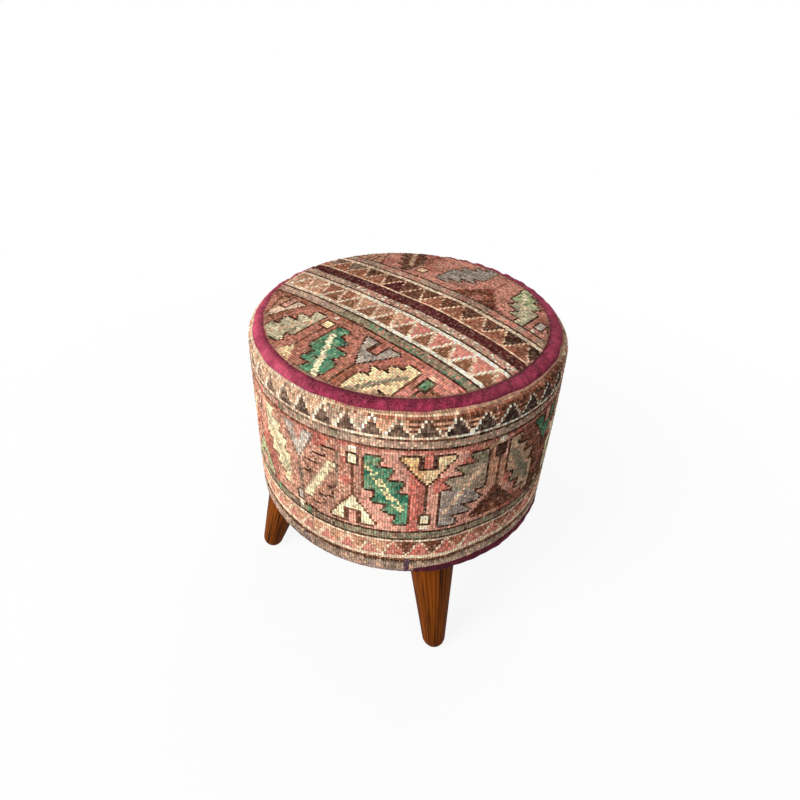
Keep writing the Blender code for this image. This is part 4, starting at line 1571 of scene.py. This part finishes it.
def felt_material(name, dark, light, nap_colour):
    """Felted wool with an uneven dye, painted light towards its left and right sides, painted light and
    shade of fine gathers, painted shade at the seam and the hem, and a soft nap.
    """
    material, tree, shader = new_material(name, 0.92, 0.08)
    place = object_coordinates(tree)
    uv = bake_uv(tree)
    patches = remap(tree, noise(tree, place, 70.0, 5.0, 0.7), 0.41, 0.63, 0.0, 1.0)
    colour = mix_colour(tree, patches, rgba(dark), rgba(light))
    # Painted light: the felt is lighter towards the left and the right of the front, in uneven patches
    left = (-math.cos(VIEW_AZIMUTH), -math.sin(VIEW_AZIMUTH), 0.0)
    toward = vector(tree, "DOT_PRODUCT", {0: place, 1: left})
    on_left = remap(tree, toward, 0.09, 0.13, 0.0, 0.72)
    on_right = remap(tree, toward, -0.05, -0.19, 0.0, 0.6)
    uneven = remap(tree, noise(tree, place, 40.0, 3.0, 0.6), 0.38, 0.62, 0.35, 1.0)
    wear_and_painted_light = times(tree, larger(tree, on_left, on_right), uneven)
    colour = mix_colour(tree, wear_and_painted_light, colour, rgba(PAINTED_LIGHT_FELT))
    # Painted light and shade of the fine gathers, in streaks round the drum
    gather_shading = noise(tree, vector(tree, "MULTIPLY", {0: uv, 1: GATHER_SHADE_CELLS}), 1.0, 3.0, 0.6)
    colour = shade_colour(tree, colour, remap(tree, gather_shading, 0.32, 0.68, 0.62, 1.3))
    # Painted shade at the seam under the carpet and at the hem, in uneven patches
    across = times(tree, make(tree, "ShaderNodeSeparateXYZ", None, {"Vector": uv}).outputs["Y"], 2.0)
    seam_shade = remap(tree, across, 0.2, 0.6, 0.85, 0.0)
    hem_shade = remap(tree, across, 0.8, 1.0, 0.0, 0.8)
    uneven_edge_shade = remap(tree, noise(tree, place, 150.0, 3.0, 0.6), 0.35, 0.65, 0.3, 1.0)
    edge = times(tree, larger(tree, seam_shade, hem_shade), uneven_edge_shade)
    colour = mix_colour(tree, edge, colour, rgba([0.7 * c for c in dark]))
    nap = noise(tree, place, 650.0, 3.0, 0.7)
    colour = mix_colour(tree, remap(tree, nap, 0.42, 0.75, 0.0, 0.6), colour, rgba(nap_colour))
    finish_shader(tree, shader, colour, nap, 0.8, 0.8 * MM)
    return material


def thread_material():
    """Loose wool thread, coloured strand by strand."""
    material, tree, shader = new_material("wool_thread", 0.95, 0.05)
    fibre = remap(tree, noise(tree, object_coordinates(tree), 1200.0, 2.0), 0.3, 0.7, 0.75, 1.15)
    tree.links.new(shade_colour(tree, wool_attribute(tree), fibre), shader.inputs["Base Color"])
    return material


GRAIN_STRETCH = 0.02
GRAIN_RADIUS = 20 * MM


def grain_coordinates(tree, turn, origin):
    """Place for the noise of wood: turn is an Euler rotation of the grain from Z, origin its middle."""
    moved = vector(tree, "SUBTRACT", {0: object_coordinates(tree), 1: origin})
    settings = {"rotation_type": "EULER_XYZ", "invert": True}
    local = make(tree, "ShaderNodeVectorRotate", settings, {"Vector": moved, "Rotation": turn}).outputs[0]
    round_axis = vector(tree, "NORMALIZE", {0: vector(tree, "MULTIPLY", {0: local, 1: (1, 1, 0)})})
    ring = vector(tree, "SCALE", {0: round_axis, "Scale": GRAIN_RADIUS})
    return vector(tree, "MULTIPLY_ADD", {0: local, 1: (0, 0, GRAIN_STRETCH), 2: ring})


def wood_material(name, turn, origin, light, dark, roughness, specular):
    """Wood whose grain runs along a direction."""
    material, tree, shader = new_material(name, roughness, specular)
    grain = grain_coordinates(tree, turn, origin)
    broad = noise(tree, grain, 140.0, 3.0, 0.55)
    fine = noise(tree, grain, 560.0, 3.0, 0.6)
    pores = noise(tree, grain, 1500.0, 1.0)
    streak = calc(tree, "ADD", times(tree, broad, 0.5), times(tree, fine, 0.5))
    colour = mix_colour(tree, remap(tree, streak, 0.41, 0.59, 0.0, 1.0), rgba(dark), rgba(light))
    shadow = remap(tree, pores, 0.60, 0.72, 0.0, 0.5)
    colour = mix_colour(tree, shadow, colour, rgba([0.5 * c for c in dark]))
    sheen = remap(tree, fine, 0.3, 0.7, roughness - 0.08, roughness + 0.10)
    tree.links.new(sheen, shader.inputs["Roughness"])
    finish_shader(tree, shader, colour, fine, 0.25, 0.3 * MM)
    return material


def plain_material(name, light, dark, scale, roughness, metallic=0.0):
    """Mottled finish for boards, padding, dust cloth and steel."""
    material, tree, shader = new_material(name, roughness, 0.2, metallic)
    tone = noise(tree, object_coordinates(tree), scale, 4.0, 0.65)
    colour = mix_colour(tree, remap(tree, tone, 0.35, 0.65, 0.0, 1.0), rgba(dark), rgba(light))
    finish_shader(tree, shader, colour, tone, 0.5, 0.2 * MM)
    return material


# Dress the frame


STAINED_WOOD = ((130, 66, 15), (46, 20, 3), 0.6, 0.03)
PINE = ((226, 190, 134), (196, 152, 96), 0.65, 0.2)


def set_material(node, material):
    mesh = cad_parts[node].data
    mesh.materials.clear()
    mesh.materials.append(material)


def dress_frame():
    ply = plain_material("plywood", (214, 178, 130), (186, 146, 98), 60.0, 0.7)
    hardboard = plain_material("hardboard", (128, 92, 62), (104, 72, 48), 300.0, 0.65)
    steel = plain_material("zinc_steel", (205, 205, 200), (176, 176, 172), 400.0, 0.38, metallic=1.0)
    for node in ("base_board", "top_board"):
        set_material(node, ply)
    set_material("wall_panel", hardboard)
    for i, angle in enumerate(LEG_ANGLES, 1):
        origin = (LEG_PITCH * math.cos(angle), LEG_PITCH * math.sin(angle), LEG_TOP_Z)
        stained = wood_material(f"stained_leg_{i}", (0, -LEG_SPLAY, angle), origin, *STAINED_WOOD)
        set_material(f"leg_{i}", stained)
        set_material(f"frame_post_{i}", wood_material(f"pine_{i}", (0, 0, angle), origin, *PINE))
        for fastener in ("leg_bolt", "tee_nut", "post_screw_top", "post_screw_bottom"):
            set_material(f"{fastener}_{i}", steel)
    return steel


def dress_side(thread):
    """Side carpet, with the thread over its selvedge."""
    wool = carpet_material("side_carpet_wool", SIDE_COLS, SIDE_ROWS, SIDE_UV_LOW, 1.0, 0.75)
    side = make_side_carpet(wool)
    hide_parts("side_carpet")
    overcast = make_overcast(thread)
    return side, overcast


def dress_top(thread):
    """Top carpet, with the threads of its cut edge."""
    wool = carpet_material("top_carpet_wool", TOP_KNOTS, TOP_KNOTS, 0.0, 0.6, 1.0)
    top = make_top_carpet(wool)
    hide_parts("top_carpet")
    fringe = make_fringe(thread)
    return top, fringe


def dress_bindings():
    """Gathered binding round the top and hem under the side."""
    binding = make_top_binding(felt_material("magenta_felt", (84, 16, 38), (166, 46, 80), (208, 106, 128)))
    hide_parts("top_binding")
    hem = make_bottom_binding(felt_material("maroon_felt", (64, 18, 32), (104, 32, 52), (132, 60, 76)))
    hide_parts("bottom_binding")
    return binding, hem


def dress_underside(steel):
    """Dust cover with its staples."""
    cover = make_dust_cover(plain_material("black_dust_cloth", (42, 41, 42), (24, 23, 24), 900.0, 0.9))
    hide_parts("dust_cover")
    staples = make_staples(steel)
    return cover, staples


def dress_padding():
    """Foam of the seat and wadding of the side."""
    cushion = make_seat_foam(plain_material("cut_foam", (226, 202, 140), (206, 180, 116), 500.0, 0.95))
    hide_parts("seat_foam")
    layer = make_wadding(plain_material("wadding_fibre", (232, 232, 228), (206, 206, 200), 220.0, 1.0))
    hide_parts("side_wadding")
    return cushion, layer


def dress_cover(steel):
    thread = thread_material()
    carpets = dress_side(thread) + dress_top(thread)
    for piece in carpets + dress_bindings() + dress_underside(steel) + dress_padding():
        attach(piece, "root")


# Stage, light and camera


FLOOR_SIZE = 60
FLOOR_GREY = (0.86, 0.86, 0.86, 1)
WHITE = (1, 1, 1, 1)
WORLD_STRENGTH = 0.23
# Lamps: name, places to the right of, before and above the middle, size, power and colour
LAMPS = [("key", -1.83, 1.55, 1.7, 1.3, 84, (1.0, 0.97, 0.93)),
         ("back", 0.9, -2.2, 1.5, 1.6, 30, (1.0, 0.98, 0.95))]
LAMP_AIM = Vector((0, 0, 0.25))


def background_ray(tree):
    """One for a ray that shows the background: from the camera, a reflection or through glass."""
    path = make(tree, "ShaderNodeLightPath").outputs
    other = larger(tree, path["Is Glossy Ray"], path["Is Transmission Ray"])
    return larger(tree, path["Is Camera Ray"], other)


def make_floor():
    """Pale floor that the camera sees almost white, with a soft shadow on it."""
    bpy.ops.mesh.primitive_plane_add(size=FLOOR_SIZE)
    floor = bpy.context.object
    floor.name = "floor"
    material = bpy.data.materials.new("pale_floor")
    material.use_nodes = True
    tree = material.node_tree
    tree.nodes.clear()
    diffuse = make(tree, "ShaderNodeBsdfDiffuse", None, {"Color": FLOOR_GREY})
    glow = make(tree, "ShaderNodeEmission", None, {"Color": WHITE, "Strength": 1.0})
    distance = vector(tree, "LENGTH", {0: object_coordinates(tree)})
    share = times(tree, background_ray(tree), remap(tree, distance, 0.2, 1.0, 0.90, 1.0))
    mixed = make(tree, "ShaderNodeMixShader", None, {0: share, 1: diffuse.outputs[0], 2: glow.outputs[0]})
    make(tree, "ShaderNodeOutputMaterial", None, {"Surface": mixed.outputs[0]})
    floor.data.materials.append(material)


def make_world():
    world = bpy.data.worlds.new("studio")
    bpy.context.scene.world = world
    world.use_nodes = True
    tree = world.node_tree
    tree.nodes.clear()
    ambient = make(tree, "ShaderNodeBackground", None, {"Color": WHITE, "Strength": WORLD_STRENGTH})
    white = make(tree, "ShaderNodeBackground", None, {"Color": WHITE, "Strength": 1.0})
    inputs = {0: background_ray(tree), 1: ambient.outputs[0], 2: white.outputs[0]}
    mixed = make(tree, "ShaderNodeMixShader", None, inputs)
    make(tree, "ShaderNodeOutputWorld", None, {"Surface": mixed.outputs[0]})


def view_frame():
    """Directions to the right of, away from and above the photograph's view."""
    right = Vector((math.cos(VIEW_AZIMUTH), math.sin(VIEW_AZIMUTH), 0))
    ahead = Vector((-math.sin(VIEW_AZIMUTH), math.cos(VIEW_AZIMUTH), 0))
    return right, ahead, Vector((0, 0, 1))


def place_looking(name, data, place, aim):
    """Object of a lamp or camera at a place, turned towards a point."""
    obj = bpy.data.objects.new(name, data)
    obj.location = place
    obj.rotation_euler = (aim - place).to_track_quat("-Z", "Y").to_euler()
    bpy.context.scene.collection.objects.link(obj)
    return obj


def make_lamp(name, side, before, height, size, power, colour):
    """Square lamp placed in the view's directions and aimed at the drum."""
    right, ahead, up = view_frame()
    data = bpy.data.lights.new(name, "AREA")
    data.shape = "SQUARE"
    data.size = size
    data.energy = power
    data.color = colour
    place_looking(name, data, right * side - ahead * before + up * height, LAMP_AIM)


# Camera: focal length and middle in pixels of the 800 pixel frame, distance and aim in drum radii from
# a point on the drum's axis, a little over the middle of the rim's round
FRAME_PIXELS = 800
FOCAL_PIXELS = 552
MIDDLE_X = 360
MIDDLE_Y = 315
CAMERA_DISTANCE = 3.578
CAMERA_ELEVATION = math.radians(30.09)
AIM_RIGHT = -0.2946
AIM_Z = RIM_CENTRE_Z + 6 * MM
SENSOR_MM = 36


def make_camera():
    right, ahead, up = view_frame()
    data = bpy.data.cameras.new("camera")
    data.sensor_width = SENSOR_MM
    data.lens = FOCAL_PIXELS / FRAME_PIXELS * SENSOR_MM
    data.shift_x = (FRAME_PIXELS / 2 - MIDDLE_X) / FRAME_PIXELS
    data.shift_y = (MIDDLE_Y - FRAME_PIXELS / 2) / FRAME_PIXELS
    axis = Vector((0, 0, AIM_Z))
    back = up * math.sin(CAMERA_ELEVATION) - ahead * math.cos(CAMERA_ELEVATION)
    place = axis + back * CAMERA_DISTANCE * OUTER_RADIUS
    bpy.context.scene.camera = place_looking("camera", data, place, axis + right * AIM_RIGHT * OUTER_RADIUS)


bpy.context.scene.view_settings.view_transform = "Standard"
dress_cover(dress_frame())
make_floor()
make_world()
for lamp in LAMPS:
    make_lamp(*lamp)
make_camera()
